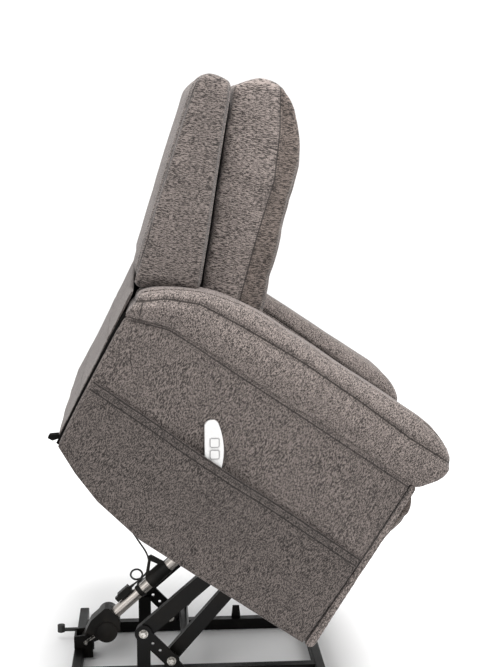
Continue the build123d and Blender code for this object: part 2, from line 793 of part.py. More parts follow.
def cable_route():
    """From the box's underside to the guide's tip, then once round to the plug's upper end."""
    leaves = raised((box_at[0] - box_len / 2 + 15, box_at[2] - box_tall / 2 - cable_clear))
    hanging = [
        (leaves[0], box_at[1], leaves[1]), (-316.0, 77.0, 640.0), (-341.0, 74.0, 578.0),
        (-352.0, 69.0, 512.0), (-345.0, 61.0, 447.0), (-326.0, 51.0, 390.0),
        (-301.0, 39.0, 346.0), (-275.0, 24.0, 309.0),
    ]
    looped = [
        (273, 9.5, 61), (259, 8.5, 38), (246, 8, 26), (230, 6, 22.5), (214, 4, 22.5), (200, 2, 33),
        (201, 0, 50), (217, -3, 57), (232, -6, 48), (231, -7, 31), (216, -5, 24.5), (197, -2, 25),
        (178 + cable_clear, 0, 25),
    ]
    return hanging + [tuple((ACTUATOR * Pos(*p)).position) for p in looped]


def cable_path(route):
    points = [Vector(*p) for p in route]
    radii = []
    for before, at, after in zip(points, points[1:], points[2:]):
        a, b = at - before, after - at
        half_turn = math.radians(a.get_angle(b)) / 2
        radii.append(0.45 * min(a.length, b.length) / math.tan(half_turn))
    return FilletPolyline(*points, radius=radii), radii


# ================================================================ all nodes
def build():
    nodes = {}
    for side in ("right", "left"):
        nodes[f"lift_stand_{side}"] = handed(lift_stand(), side)
        nodes[f"upper_link_{side}"] = handed(lift_link(A, C, upper_link_w, upper_in, upper_out), side)
        nodes[f"lower_link_{side}"] = handed(lift_link(B, D, lower_link_w, lower_in, lower_out), side)
        nodes[f"lift_mount_{side}"] = handed(lift_mount(), side)
        nodes[f"seat_rail_{side}"] = handed(seat_side_rail(), side)
        nodes[f"side_frame_{side}"] = handed(side_frame(), side)
        nodes[f"side_cover_{side}"] = handed(side_cover(), side)
        nodes[f"arm_front_{side}"] = handed(arm_front(), side)
        nodes[f"arm_pad_{side}"] = handed(arm_pad(), side)
        nodes[f"inner_arm_{side}"] = handed(inner_arm(), side)
    nodes["base_rail_right"] = base_rail()
    nodes["base_rail_left"] = handed(base_rail(), "left") + supply_tab()
    nodes["base_rear_tube"] = base_cross_tube(rear_tube_x)
    nodes["base_front_tube"] = base_cross_tube(front_tube_x)
    nodes["tube_end_caps"] = tube_end_caps()
    nodes["base_glides"] = base_glides()
    nodes["lift_pivot_bolts"] = lift_pivot_bolts()
    nodes["actuator_clevis"] = actuator_clevis()
    nodes["clevis_pin"] = clevis_pin()
    nodes["rear_bumper"] = rear_bumper()
    nodes["upper_cross_tube"] = upper_cross_tube()
    nodes["lower_cross_tube"] = lower_cross_tube()
    nodes["gear_housing"] = gear_housing()
    nodes["motor_can"] = motor_can()
    nodes["actuator_tube"] = actuator_tube()
    nodes["cable_clips"] = cable_clips()
    nodes["motor_plug"] = motor_plug()
    nodes["actuator_rod"] = actuator_rod()
    nodes["chair_pivot_bolts"] = chair_pivot_bolts()
    nodes["lift_cross_tube"] = lift_cross_tube()
    nodes["seat_front_rail"] = cross_rail(seat_rail_front)
    nodes["seat_rear_rail"] = cross_rail(seat_rail_rear - cross_rail_t)
    nodes["seat_straps"] = seat_straps()
    nodes["side_pocket"] = side_pocket()
    nodes["seat_cushion"] = seat_cushion()
    nodes["rear_skirt"] = rear_skirt()
    nodes["rear_skirt_top"] = rear_skirt_top()
    nodes["control_box"] = control_box()
    nodes["back_shell"] = back_shell()
    nodes["back_board"] = back_board()
    nodes["back_cushion"] = back_cushion()
    nodes["recline_brackets"] = both(recline_bracket())
    nodes["leg_drive_arms"] = both(leg_drive_arm())
    nodes["leg_links"] = both(leg_link())
    nodes["leg_board"] = leg_board()
    nodes["leg_pad"] = leg_pad()
    nodes["handset_body"] = handset_body()
    nodes["handset_button_up"] = handset_button(button_z[0])
    nodes["handset_button_down"] = handset_button(button_z[1])
    nodes["motor_cable"] = motor_cable()
    return nodes


os.makedirs("parts", exist_ok=True)
for name, shape in build().items():
    export_step(centred(shape), f"parts/{name}.step")
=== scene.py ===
import math

import bmesh
import bpy
import numpy as np
from bpy.props import FloatProperty, FloatVectorProperty, IntProperty
from mathutils import Matrix, Vector, noise


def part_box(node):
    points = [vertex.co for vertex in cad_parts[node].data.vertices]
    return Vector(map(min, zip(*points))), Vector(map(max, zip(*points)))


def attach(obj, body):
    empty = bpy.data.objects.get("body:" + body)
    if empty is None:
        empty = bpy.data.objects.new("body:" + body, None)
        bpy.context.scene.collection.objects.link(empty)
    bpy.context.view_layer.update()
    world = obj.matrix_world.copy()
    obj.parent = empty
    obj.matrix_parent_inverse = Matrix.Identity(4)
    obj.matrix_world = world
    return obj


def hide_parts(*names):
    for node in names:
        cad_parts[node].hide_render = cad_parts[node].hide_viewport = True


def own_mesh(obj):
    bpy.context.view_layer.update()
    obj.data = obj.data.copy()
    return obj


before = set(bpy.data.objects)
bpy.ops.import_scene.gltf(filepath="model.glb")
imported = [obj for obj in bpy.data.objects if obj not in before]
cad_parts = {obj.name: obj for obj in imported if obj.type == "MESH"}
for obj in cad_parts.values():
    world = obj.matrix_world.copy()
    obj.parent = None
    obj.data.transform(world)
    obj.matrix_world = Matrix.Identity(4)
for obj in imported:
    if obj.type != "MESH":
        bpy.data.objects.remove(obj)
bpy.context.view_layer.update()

bl_info = {
    "name": "Lift Recliner Upholstery",
    "version": (1, 0, 0),
    "blender": (4, 5, 0),
    "location": "View3D > Sidebar > Recliner",
    "description": "Upholsters and finishes a lift recliner around its packed frame",
    "category": "Add Mesh",
}

# The chair is drawn at the top of its lift. "Seated" coordinates are the chair's own, as it
# stands on the floor: x is 0 at the side panel's front foot and z is 0 at the floor.
TILT = math.radians(34.0)
FOOT = Vector((0.155, 0.0, 0.169))        # the side panel's front foot, raised
FOOT_GAP = 0.038
BACK_LEAN = math.radians(25.1)            # the back leans this far from the chair's own upright

ACTUATOR_SLOPE = math.radians(41.693)
BOLT_FACE = 0.1752                        # pivot bolts end at this distance from the middle
COVER_OUT = 0.400                         # outer face of the side covers
ARM_OUT = 0.410
ARM_IN = 0.266
SEAT_HALF = 0.262

# Sewn lines as seated (x, z) points, from the chair's rear or foot to its front or top.
ARM_CREST_SEAM = [(-0.812, 0.500), (-0.785, 0.520), (-0.751, 0.548), (-0.679, 0.580), (-0.576, 0.590),
                  (-0.418, 0.598), (-0.249, 0.595), (-0.101, 0.587), (0.030, 0.590)]
ARM_FOOT_SEAM = [(-0.830, 0.455), (-0.806, 0.464), (-0.720, 0.496), (-0.640, 0.500), (0.03, 0.500)]
ROLL_SEAM = [(-0.783, 0.466), (-0.706, 0.493), (-0.633, 0.494), (-0.518, 0.492), (-0.295, 0.491),
             (-0.020, 0.489)]
BACK_SIDE_SEAM = [(-0.530, 0.480), (-0.592, 0.628), (-0.640, 0.770), (-0.681, 0.907), (-0.735, 1.010),
                  (-0.785, 1.085), (-0.800, 1.130)]
SHELL_SEAM = [(-0.838, 0.560), (-0.856, 0.634), (-0.886, 0.706), (-0.903, 0.778), (-0.939, 0.894),
              (-0.960, 0.993), (-0.962, 1.060)]
SHELL_WELT = [(-0.664, 0.545), (-0.891, 1.030)]
BACK_TUCKS = [((-0.560, 0.712), 0.0026), ((-0.627, 0.890), 0.0022)]
COVER_FOOT = [(-0.030, 0.0415), (-0.489, 0.0455), (-0.624, 0.0705), (-0.701, 0.0985), (-0.769, 0.1315)]
SIDE_REAR = [(-0.771, 0.133), (-0.785, 0.240), (-0.803, 0.406), (-0.806, 0.470)]
POCKET_MOUTH = -0.448                     # seated x of the hand control at the pocket's hem


# ------------------------------------------------------------------ settings
class ChairCloth(bpy.types.PropertyGroup):
    """Sizes and colours of the upholstery."""
    side_colour: FloatVectorProperty(
        name="Side cloth", description="Chenille on the sides, arms and outer back",
        subtype="COLOR", size=3, min=0, max=1, default=(0.0760, 0.0645, 0.0598))
    front_colour: FloatVectorProperty(
        name="Front cloth", description="Chenille on the cushions' fronts, a little browner",
        subtype="COLOR", size=3, min=0, max=1, default=(0.0720, 0.0585, 0.0520))
    heather: FloatProperty(
        name="Heather", description="Contrast between the light and dark yarns",
        default=3.1, min=0, max=5)
    yarn: FloatProperty(
        name="Yarn pitch", description="Distance between two flecks of the cloth",
        default=0.0015, unit="LENGTH")
    voxel: FloatProperty(
        name="Cushion mesh", description="Size of a cushion's faces before it is filled",
        default=0.0085, unit="LENGTH")
    pressure: FloatProperty(
        name="Filling pressure", description="Pressure that fills the cushions", default=4.0, min=0)
    frames: IntProperty(
        name="Filling steps", description="Cloth frames that fill a cushion", default=20, min=1)
    crease: FloatProperty(
        name="Seam depth", description="How far a seam pulls into the padding",
        default=0.0035, unit="LENGTH")
    crease_width: FloatProperty(
        name="Seam width", description="Half the width of the dip along a seam",
        default=0.0075, unit="LENGTH")
    hem: FloatProperty(
        name="Pocket hem", description="Depth of the pocket's sewn hem", default=0.021, unit="LENGTH")


class ChairMetal(bpy.types.PropertyGroup):
    """Sizes of the hardware that is added to the lift."""
    bolt_radius: FloatProperty(
        name="Bolt head", description="Radius over a pivot bolt's corners", default=0.0092, unit="LENGTH")
    lead_radius: FloatProperty(
        name="Motor lead", description="Radius of the motor's lead", default=0.0025, unit="LENGTH")
    outline: FloatProperty(
        name="Button outline", description="Width of the grey line round each button",
        default=0.0011, unit="LENGTH")


class ChairStudio(bpy.types.PropertyGroup):
    """Floor, backdrop and lights."""
    floor_colour: FloatVectorProperty(
        name="Floor", description="Pale floor and backdrop", subtype="COLOR", size=3,
        min=0, max=1, default=(0.97, 0.97, 0.97))
    key_power: FloatProperty(
        name="Key light", description="Power of the large light above", default=190.0)
    side_power: FloatProperty(
        name="Side light", description="Power of the light beside the camera", default=26.0)
    sky: FloatProperty(name="Sky", description="Strength of the even light all round", default=1.0)


# ------------------------------------------------------------------ places
def seated(points):
    """Raised points, in metres, as the seated chair's own coordinates."""
    p = np.atleast_2d(np.asarray(points, float)) - np.array(FOOT)
    c, s = math.cos(TILT), math.sin(TILT)
    return np.stack([p[:, 0] * c - p[:, 2] * s, p[:, 1], p[:, 0] * s + p[:, 2] * c + FOOT_GAP], 1)


def raised(points):
    """The seated chair's own coordinates as raised points."""
    p = np.atleast_2d(np.asarray(points, float)) - np.array((0, 0, FOOT_GAP))
    c, s = math.cos(TILT), math.sin(TILT)
    return np.stack([p[:, 0] * c + p[:, 2] * s, p[:, 1], p[:, 2] * c - p[:, 0] * s], 1) + np.array(FOOT)


def line_offset(x, z, line):
    """Signed distance of (x, z) points from a line, plus on its left, and how far along they lie."""
    best = np.full(len(x), 9.0)
    signed = np.full(len(x), 9.0)
    run = np.zeros(len(x))
    start = 0.0
    for (ax, az), (bx, bz) in zip(line, line[1:]):
        dx, dz = bx - ax, bz - az
        length = math.hypot(dx, dz)
        t = np.clip(((x - ax) * dx + (z - az) * dz) / length ** 2, 0, 1)
        gap = np.hypot(x - ax - t * dx, z - az - t * dz)
        side = np.sign(dx * (z - az) - dz * (x - ax))
        near = gap < best
        best = np.where(near, gap, best)
        signed = np.where(near, gap * side, signed)
        run = np.where(near, start + t * length, run)
        start += length
    return signed, run


def smooth_step(t):
    t = np.clip(t, 0, 1)
    return t * t * (3 - 2 * t)


# ------------------------------------------------------------------ meshes
def alone(obj):
    """Make an object the only selected one, and the active one."""
    bpy.ops.object.select_all(action="DESELECT")
    obj.select_set(True)
    bpy.context.view_layer.objects.active = obj
    return obj


def finish_with(obj, kind, **settings):
    """Add a modifier, set it and apply it."""
    alone(obj)
    modifier = obj.modifiers.new(kind.title(), kind)
    for key, value in settings.items():
        setattr(modifier, key, value)
    bpy.ops.object.modifier_apply(modifier=modifier.name)
    return obj


def points_of(obj):
    co = np.empty(len(obj.data.vertices) * 3)
    obj.data.vertices.foreach_get("co", co)
    return co.reshape(-1, 3)


def normals_of(obj):
    n = np.empty(len(obj.data.vertices) * 3)
    obj.data.vertex_normals.foreach_get("vector", n)
    return n.reshape(-1, 3)


def put_points(obj, points):
    obj.data.vertices.foreach_set("co", np.ascontiguousarray(points).ravel())
    obj.data.update()


def attribute(obj, name, values):
    layer = obj.data.attributes.get(name) or obj.data.attributes.new(name, "FLOAT", "POINT")
    layer.data.foreach_set("value", np.asarray(values, np.float32))


def new_piece(name, mesh):
    obj = bpy.data.objects.new(name, mesh)
    bpy.context.scene.collection.objects.link(obj)
    return alone(obj)


def copy_of(name, node):
    """A copy of a CAD node's shape as one closed mesh without its materials."""
    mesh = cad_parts[node].data.copy()
    mesh.name = name
    mesh.materials.clear()
    b = bmesh.new()
    b.from_mesh(mesh)
    bmesh.ops.remove_doubles(b, verts=b.verts, dist=1e-5)
    bmesh.ops.recalc_face_normals(b, faces=b.faces)
    b.to_mesh(mesh)
    b.free()
    return new_piece(name, mesh)


def mirrored(obj, name):
    """The same piece on the sitter's other side."""
    mesh = obj.data.copy()
    mesh.name = name
    mesh.transform(Matrix.Scale(-1, 4, (0, 1, 0)))
    mesh.flip_normals()
    return new_piece(name, mesh)


def ripple(obj, depth, size, seed, stretch=(1, 1, 1)):
    """Slow rises and falls of slack cloth over padding."""
    p = points_of(obj)
    at = seated(p) * np.array(stretch) / size + seed * 7.3
    waves = np.array([noise.noise(Vector(q)) for q in at])
    put_points(obj, p + normals_of(obj) * (waves * depth)[:, None])


def fill(obj, held, cap, pressure=None):
    """Blow a padded piece up from inside with cloth simulation; held vertices stay put."""
    cloth = bpy.context.scene.chair_cloth
    obj.vertex_groups.new(name="held").add(np.nonzero(held)[0].tolist(), 1.0, "REPLACE")
    before = points_of(obj)
    alone(obj)
    modifier = obj.modifiers.new("Filling", "CLOTH")
    s = modifier.settings
    s.quality = 4
    s.mass = 0.3
    s.use_pressure = True
    s.uniform_pressure_force = pressure or cloth.pressure
    s.tension_stiffness = s.compression_stiffness = 12
    s.bending_stiffness = 0.6
    s.vertex_group_mass = "held"
    s.effector_weights.gravity = 0
    modifier.collision_settings.use_collision = False
    modifier.point_cache.frame_start = 1
    modifier.point_cache.frame_end = cloth.frames
    for step in range(1, cloth.frames + 1):
        bpy.context.scene.frame_set(step)
    bpy.ops.object.modifier_apply(modifier=modifier.name)
    moved = points_of(obj) - before
    reach = np.linalg.norm(moved, axis=1)
    moved *= (np.minimum(reach, cap) / np.maximum(reach, 1e-9))[:, None]
    put_points(obj, before + moved)
    bpy.context.scene.frame_set(1)
    obj.vertex_groups.clear()


def remesh(obj, voxel, rounds):
    """Even faces all over, with the edges rounded by smoothing."""
    finish_with(obj, "REMESH", mode="VOXEL", voxel_size=voxel)
    finish_with(obj, "SMOOTH", factor=0.5, iterations=rounds)


def sew(obj, seams, where=None, depth=None):
    """Sink a dip along each sewn line, and note each point's distance from the nearest one."""
    cloth = bpy.context.scene.chair_cloth
    depth = cloth.crease if depth is None else depth
    s = seated(points_of(obj))
    nearest = np.full(len(s), 0.5)
    along = np.zeros(len(s))
    for seam in seams:
        signed, run = line_offset(s[:, 0], s[:, 2], seam)
        if where is not None:
            signed = np.where(where(s), signed, 0.5)
        closer = np.abs(signed) < np.abs(nearest)
        nearest = np.where(closer, signed, nearest)
        along = np.where(closer, run, along)
    dip = depth * np.exp(-(nearest / cloth.crease_width) ** 2)
    put_points(obj, points_of(obj) - normals_of(obj) * dip[:, None])
    attribute(obj, "seam", nearest)
    attribute(obj, "run", along)


def refine(obj, levels=1):
    finish_with(obj, "SUBSURF", levels=levels, render_levels=levels)
    bpy.ops.object.shade_smooth()
    return obj


def settle(obj, body, finish, nodes):
    """Give a finished piece its material and body, and hide the CAD nodes that it stands for."""
    obj.data.materials.clear()
    obj.data.materials.append(finish)
    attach(obj, body)
    if nodes:
        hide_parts(*nodes)
    return obj


def loft(name, outline, spine, ys, shares):
    """A closed pad: one (x, z) outline at each y, thinned towards its spine by that y's share."""
    b = bmesh.new()
    rings = []
    for y, share in zip(ys, shares):
        flat = spine + (outline - spine) * share
        ring = raised(np.stack([flat[:, 0], np.full(len(flat), y), flat[:, 1]], 1))
        rings.append([b.verts.new(p) for p in ring])
    for one, two in zip(rings, rings[1:]):
        for k in range(len(one)):
            m = (k + 1) % len(one)
            b.faces.new((one[k], one[m], two[m], two[k]))
    b.faces.new(rings[0])
    b.faces.new(rings[-1])
    bmesh.ops.recalc_face_normals(b, faces=b.faces)
    mesh = bpy.data.meshes.new(name)
    b.to_mesh(mesh)
    b.free()
    return new_piece(name, mesh)


def resample(line, step, closed=False):
    """Points at an even spacing along a line."""
    line = np.array(line + [line[0]] if closed else line, float)
    lengths = np.hypot(*np.diff(line, axis=0).T)
    total = np.concatenate([[0], np.cumsum(lengths)])
    count = max(2, int(round(total[-1] / step)))
    at = np.linspace(0, total[-1], count + 1)
    if closed:
        at = at[:-1]
    return np.stack([np.interp(at, total, line[:, 0]), np.interp(at, total, line[:, 1])], 1)


# ------------------------------------------------------------------ shader expressions
class Value:
    """A shader socket that Python arithmetic adds Math nodes to."""
    def __init__(self, finish, socket):
        self.finish, self.socket = finish, socket

    def math(self, operation, *values):
        sockets = dict(enumerate(values))
        return self.finish.node("ShaderNodeMath", {"operation": operation}, sockets)

    def __add__(self, other):
        return self.math("ADD", self, other)

    def __sub__(self, other):
        return self.math("SUBTRACT", self, other)

    def __mul__(self, other):
        return self.math("MULTIPLY", self, other)

    def __gt__(self, other):
        return self.math("GREATER_THAN", self, other)

    def __abs__(self):
        return self.math("ABSOLUTE", self)

    def sine(self):
        return self.math("SINE", self)

    def ramp(self, low, high, out_low=0.0, out_high=1.0):
        """Runs smoothly from out_low to out_high as the value goes from low to high."""
        return self.finish.node("ShaderNodeMapRange", {"interpolation_type": "SMOOTHSTEP"}, {
            "Value": self, "From Min": low, "From Max": high, "To Min": out_low, "To Max": out_high})


class Finish:
    """One material, built node by node round a Principled shader."""
    def __init__(self, name, **shader):
        self.material = bpy.data.materials.new(name)
        self.material.use_nodes = True
        self.tree = self.material.node_tree
        self.tree.nodes.clear()
        self.shader = self.tree.nodes.new("ShaderNodeBsdfPrincipled")
        out = self.tree.nodes.new("ShaderNodeOutputMaterial")
        self.tree.links.new(self.shader.outputs[0], out.inputs[0])
        for key, value in shader.items():
            self.set(key.replace("_", " "), value)

    def plug(self, socket, value):
        if isinstance(value, Value):
            self.tree.links.new(value.socket, socket)
        elif hasattr(value, "__len__") and len(value) == 3 and socket.type == "RGBA":
            socket.default_value = (*value, 1)
        else:
            socket.default_value = value

    def set(self, name, value):
        self.plug(self.shader.inputs[name], value)

    def node(self, kind, settings=None, sockets=None, out=0):
        node = self.tree.nodes.new(kind)
        for key, value in (settings or {}).items():
            if key == "stops":
                ramp = node.color_ramp
                while len(ramp.elements) < len(value):
                    ramp.elements.new(0.5)
                for element, (place, colour) in zip(ramp.elements, value):
                    element.position = place
                    element.color = (*colour, 1)
            else:
                setattr(node, key, value)
        for key, value in (sockets or {}).items():
            self.plug(node.inputs[key], value)
        return Value(self, node.outputs[out])

    def place(self, turn=0.0, scale=(1, 1, 1)):
        """Object coordinates turned about Y and stretched."""
        here = self.node("ShaderNodeTexCoord", out="Object")
        here = self.node("ShaderNodeMapping", None, {"Vector": here, "Rotation": (0, -turn, 0)})
        return self.node("ShaderNodeVectorMath", {"operation": "MULTIPLY"}, {0: here, 1: scale})

    def noise(self, vector, scale, detail=2.0, rough=0.5):
        return self.node("ShaderNodeTexNoise", None, {
            "Vector": vector, "Scale": scale, "Detail": detail, "Roughness": rough}, "Fac")

    def mix(self, share, first, second, blend="MIX"):
        node = self.tree.nodes.new("ShaderNodeMix")
        node.data_type = "RGBA"
        node.blend_type = blend
        self.plug(node.inputs[0], share)
        self.plug(node.inputs[6], first)
        self.plug(node.inputs[7], second)
        return Value(self, node.outputs[2])

    def read(self, name):
        return self.node("ShaderNodeAttribute", {"attribute_name": name}, None, "Fac")

    def bump(self, height, distance, strength=1.0, under=None):
        sockets = {"Height": height, "Distance": distance, "Strength": strength}
        if under is not None:
            sockets["Normal"] = under
        return self.node("ShaderNodeBump", None, sockets)


def shade(colour, factor):
    return tuple(min(1.0, c * factor) for c in colour)


STITCH_GAP = 0.0058           # stitches run this far from a seam
STITCH_PITCH = 0.0046         # one stitch and the space after it


def chenille(name, colour, turn, stretch, second=None):
    """Heathered chenille: fine flecks of light and dark yarn, soft patches, seams with painted shade in
    their creases, and stitches.
    stretch is how long the flecks run along each of the chair's axes, in yarns; second is the
    colour of the front panel of a piece sewn from two."""
    cloth = bpy.context.scene.chair_cloth
    f = Finish(name, Roughness=0.92, Sheen_Weight=0.15, Sheen_Roughness=0.5)
    f.set("Sheen Tint", (0.95, 0.90, 0.88))
    f.set("Specular IOR Level", 0.15)
    pitch = 1.0 / cloth.yarn
    yarn = f.noise(f.place(turn, tuple(pitch / s for s in stretch)), 1.0, 1.0, 0.55)
    fleck = f.noise(f.place(turn, tuple(1.7 * pitch / math.sqrt(s) for s in stretch)), 1.0, 0.0, 0.5)
    band = f.noise(f.place(turn, tuple(0.16 * pitch / s for s in stretch)), 1.0, 1.0, 0.5)
    patch = f.noise(f.place(turn), 5.0, 3.0, 0.55)
    smudge = f.noise(f.place(turn, (1.0, 1.0, 1.6)), 16.0, 2.0, 0.5)
    tone = (yarn - 0.5) * 1.6 + (fleck - 0.5) * 0.7
    level = (tone * cloth.heather + 0.5 + (band - 0.5) * 0.55 + (patch - 0.5) * 0.22
             + (smudge - 0.5) * 0.14)
    weave = f.node("ShaderNodeValToRGB", {"stops": [
        (0.12, (0.14, 0.14, 0.14)), (0.44, (0.41, 0.41, 0.41)),
        (0.58, (0.60, 0.60, 0.60)), (0.88, (1.0, 0.99, 0.98))]}, {"Fac": level})
    tint = shade(colour, 2.0)
    if second is not None:
        tint = f.mix(f.read("panel"), tint, shade(second, 2.0))
    cover = f.mix(1.0, weave, tint, "MULTIPLY")
    gap = abs(f.read("seam"))
    # Painted shade: the cloth darkens towards the middle of each seam's crease, as if shade falls there.
    crease = gap.ramp(0.0007, 0.0030, 1.0, 0.0)
    cover = f.mix(crease * 0.85, cover, shade(colour, 0.22))
    stitch = abs(gap - STITCH_GAP).ramp(0.0006, 0.0016, 1.0, 0.0)
    dash = (f.read("run") * (2 * math.pi / STITCH_PITCH)).sine() > -0.35
    cover = f.mix(stitch * dash * 0.55, cover, shade(colour, 0.45))
    pucker = gap.ramp(0.003, 0.012, 1.0, 0.0) * f.noise(f.place(turn), 160.0, 1.0)
    f.set("Base Color", cover)
    f.set("Roughness", level.ramp(0.2, 0.9, 0.97, 0.84))
    f.set("Normal", f.bump(tone + crease * -1.0 + pucker * 0.7 + stitch * -0.7, 0.0009, 0.7))
    return f.material


_made = {}


def cloth_named(key):
    """The upholstery materials, each made once."""
    cloth = bpy.context.scene.chair_cloth
    side, front = tuple(cloth.side_colour), tuple(cloth.front_colour)
    back = TILT - BACK_LEAN
    # Each factor below makes a lit or shaded copy of the side cloth: painted light on the arms, the back
    # cushion and, a little, the outer back; painted shade on the pocket and the rear panel.
    recipes = {
        "side": (side, TILT, (1, 1, 3.6)),
        "arm": (shade(side, 1.32), TILT, (1, 3.2, 3.2)),
        "pocket": (shade(side, 0.74), TILT, (1, 1, 3.4)),
        "shell": (shade(side, 1.04), back, (5.5, 5.5, 1)),
        "back": (shade(side, 1.33), back, (6.5, 6.5, 1), shade(front, 1.0)),
        "front": (front, TILT, (2.5, 5.0, 1)),
        "rear": (shade(side, 0.80), TILT, (1, 3.0, 1.4)),
    }
    if key not in _made:
        _made[key] = chenille("chenille_" + key, *recipes[key])
    return _made[key]


class PieceOperator(bpy.types.Operator):
    """Base of the chair's operators."""
    bl_options = {"REGISTER", "UNDO"}


# ------------------------------------------------------------------ stage
class CHAIR_OT_stage(PieceOperator):
    """Pale floor and backdrop, soft studio lights and the camera"""
    bl_idname = "chair.stage"
    bl_label = "Studio"

    def execute(self, context):
        studio = context.scene.chair_studio
        radius, depth, half, top = 3.0, 6.0, 9.0, 9.0
        bend = [(depth + radius * math.sin(a), radius - radius * math.cos(a))
                for a in np.linspace(0, math.pi / 2, 13)]
        sweep = [(-depth, 0.0), (0.0, 0.0), *bend, (depth + radius, top)]
        verts = [(x, y, z) for y, z in sweep for x in (-half, half)]
        mesh = bpy.data.meshes.new("studio_floor")
        mesh.from_pydata(verts, [], [(k, k + 1, k + 3, k + 2) for k in range(0, len(verts) - 2, 2)])
        floor = new_piece("studio_floor", mesh)
        bpy.ops.object.shade_smooth()
        pale = Finish("pale_floor", Roughness=0.85)
        level = pale.noise(pale.place(), 3.0, 2.0)
        colour = tuple(studio.floor_colour)
        pale.set("Base Color", pale.mix(level, colour, shade(colour, 0.985)))
        floor.data.materials.append(pale.material)
        self.light("key_light", (0.5, -0.9, 3.5), (0.0, 0.0, 0.7), 2.4, studio.key_power)
        self.light("side_light", (-2.6, -3.0, 1.9), (0.0, 0.0, 0.7), 2.2, studio.side_power)
        world = bpy.data.worlds.new("even_sky")
        context.scene.world = world
        world.use_nodes = True
        sky = world.node_tree.nodes["Background"]
        sky.inputs["Color"].default_value = (1, 1, 1, 1)
        sky.inputs["Strength"].default_value = studio.sky
        context.scene.view_settings.view_transform = "Standard"
        self.camera(context)
        return {"FINISHED"}

    def light(self, name, place, target, size, power):
        data = bpy.data.lights.new(name, "AREA")
        data.shape = "DISK"
        data.size = size
        data.energy = power
        lamp = bpy.data.objects.new(name, data)
        lamp.location = place
        lamp.rotation_euler = (Vector(target) - Vector(place)).to_track_quat("-Z", "Y").to_euler()
        bpy.context.scene.collection.objects.link(lamp)

    def camera(self, context):
        data = bpy.data.cameras.new("camera")
        data.lens = 70.16
        data.sensor_width = 36.0
        data.clip_end = 60.0
        camera = bpy.data.objects.new("camera", data)
        ahead = Vector((0.070973, 0.984225, -0.162060))
        across = Vector((0.997410, -0.071924, 0.0))
        up = across.cross(ahead)
        turn = Matrix((across, up, -ahead)).transposed()
        camera.matrix_world = Matrix.Translation((-0.201, -3.300, 1.408)) @ turn.to_4x4()
        context.scene.collection.objects.link(camera)
        context.scene.camera = camera


# ------------------------------------------------------------------ motor lead
LEAD_ROUTE = [
    (-0.2673, 0.0780, 0.6963), (-0.3000, 0.0770, 0.6400), (-0.3250, 0.0740, 0.5780),
    (-0.3360, 0.0690, 0.5120), (-0.3290, 0.0610, 0.4470), (-0.3100, 0.0510, 0.3900),
    (-0.2850, 0.0390, 0.3460), (-0.2590, 0.0240, 0.3090), (-0.2347, 0.0095, 0.2771),
    (-0.2299, 0.0085, 0.2506), (-0.2316, 0.0080, 0.2330), (-0.2412, 0.0060, 0.2198),
    (-0.2532, 0.0040, 0.2091), (-0.2706, 0.0020, 0.2077), (-0.2812, 0.0000, 0.2210),
    (-0.2739, -0.0030, 0.2369), (-0.2567, -0.0060, 0.2402), (-0.2461, -0.0070, 0.2268),
    (-0.2530, -0.0050, 0.2120), (-0.2675, -0.0020, 0.1997), (-0.2810, 0.0000, 0.1877),
]


class CHAIR_OT_motor_lead(PieceOperator):
    """The motor's thin lead, from the control box round its slack loop to the plug"""
    bl_idname = "chair.motor_lead"
    bl_label = "Motor lead"

    def execute(self, context):
        radius = context.scene.chair_metal.lead_radius
        curve = bpy.data.curves.new("motor_lead", "CURVE")
        curve.dimensions = "3D"
        curve.resolution_u = 8
        spline = curve.splines.new("NURBS")
        spline.points.add(len(LEAD_ROUTE) - 1)
        for point, place in zip(spline.points, LEAD_ROUTE):
            point.co = (*place, 1)
        spline.order_u = 3
        spline.use_endpoint_u = True
        lead = new_piece("motor_lead", curve)
        line = bpy.data.meshes.new_from_object(lead)
        path = [tuple(v.co) for v in line.vertices]
        bpy.data.meshes.remove(line)
        curve.bevel_depth = radius
        curve.bevel_resolution = 3
        curve.use_fill_caps = True
        alone(lead)
        bpy.ops.object.convert(target="MESH")
        lead = context.object
        bpy.ops.object.shade_smooth()
        rubber = Finish("lead_rubber", Roughness=0.5, Specular_IOR_Level=0.25)
        ripple_map = rubber.noise(rubber.place(), 700.0, 1.0)
        rubber.set("Base Color", rubber.mix(ripple_map, (0.008, 0.008, 0.008), (0.022, 0.021, 0.020)))
        rubber.set("Normal", rubber.bump(ripple_map, 0.0003, 0.5))
        settle(lead, "actuator_body", rubber.material, ["motor_cable"])
        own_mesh(lead)
        self.boot("lead_boot", path, rubber.material)
        return {"FINISHED"}

    def boot(self, name, path, finish):
        """A tapered sleeve where the lead enters its plug."""
        ahead = (Vector(path[-1]) - Vector(path[-3])).normalized()
        bpy.ops.object.select_all(action="DESELECT")
        bpy.ops.mesh.primitive_cone_add(
            vertices=24, radius1=0.0046, radius2=0.0031, depth=0.016,
            location=Vector(path[-1]) - ahead * 0.0055,
            rotation=(-ahead).to_track_quat("Z", "Y").to_euler())
        boot = bpy.context.object
        boot.name = name
        bpy.ops.object.transform_apply()
        finish_with(boot, "BEVEL", width=0.0007, segments=2)
        bpy.ops.object.shade_smooth()
        settle(boot, "actuator_body", finish, [])


# ------------------------------------------------------------------ backrest
def back_front(s):
    """How far each point lies in front of the line where the back meets its board."""
    return (s[:, 0] + 0.684 + (s[:, 2] - 0.608) * 0.192 / 0.410) * math.cos(BACK_LEAN)


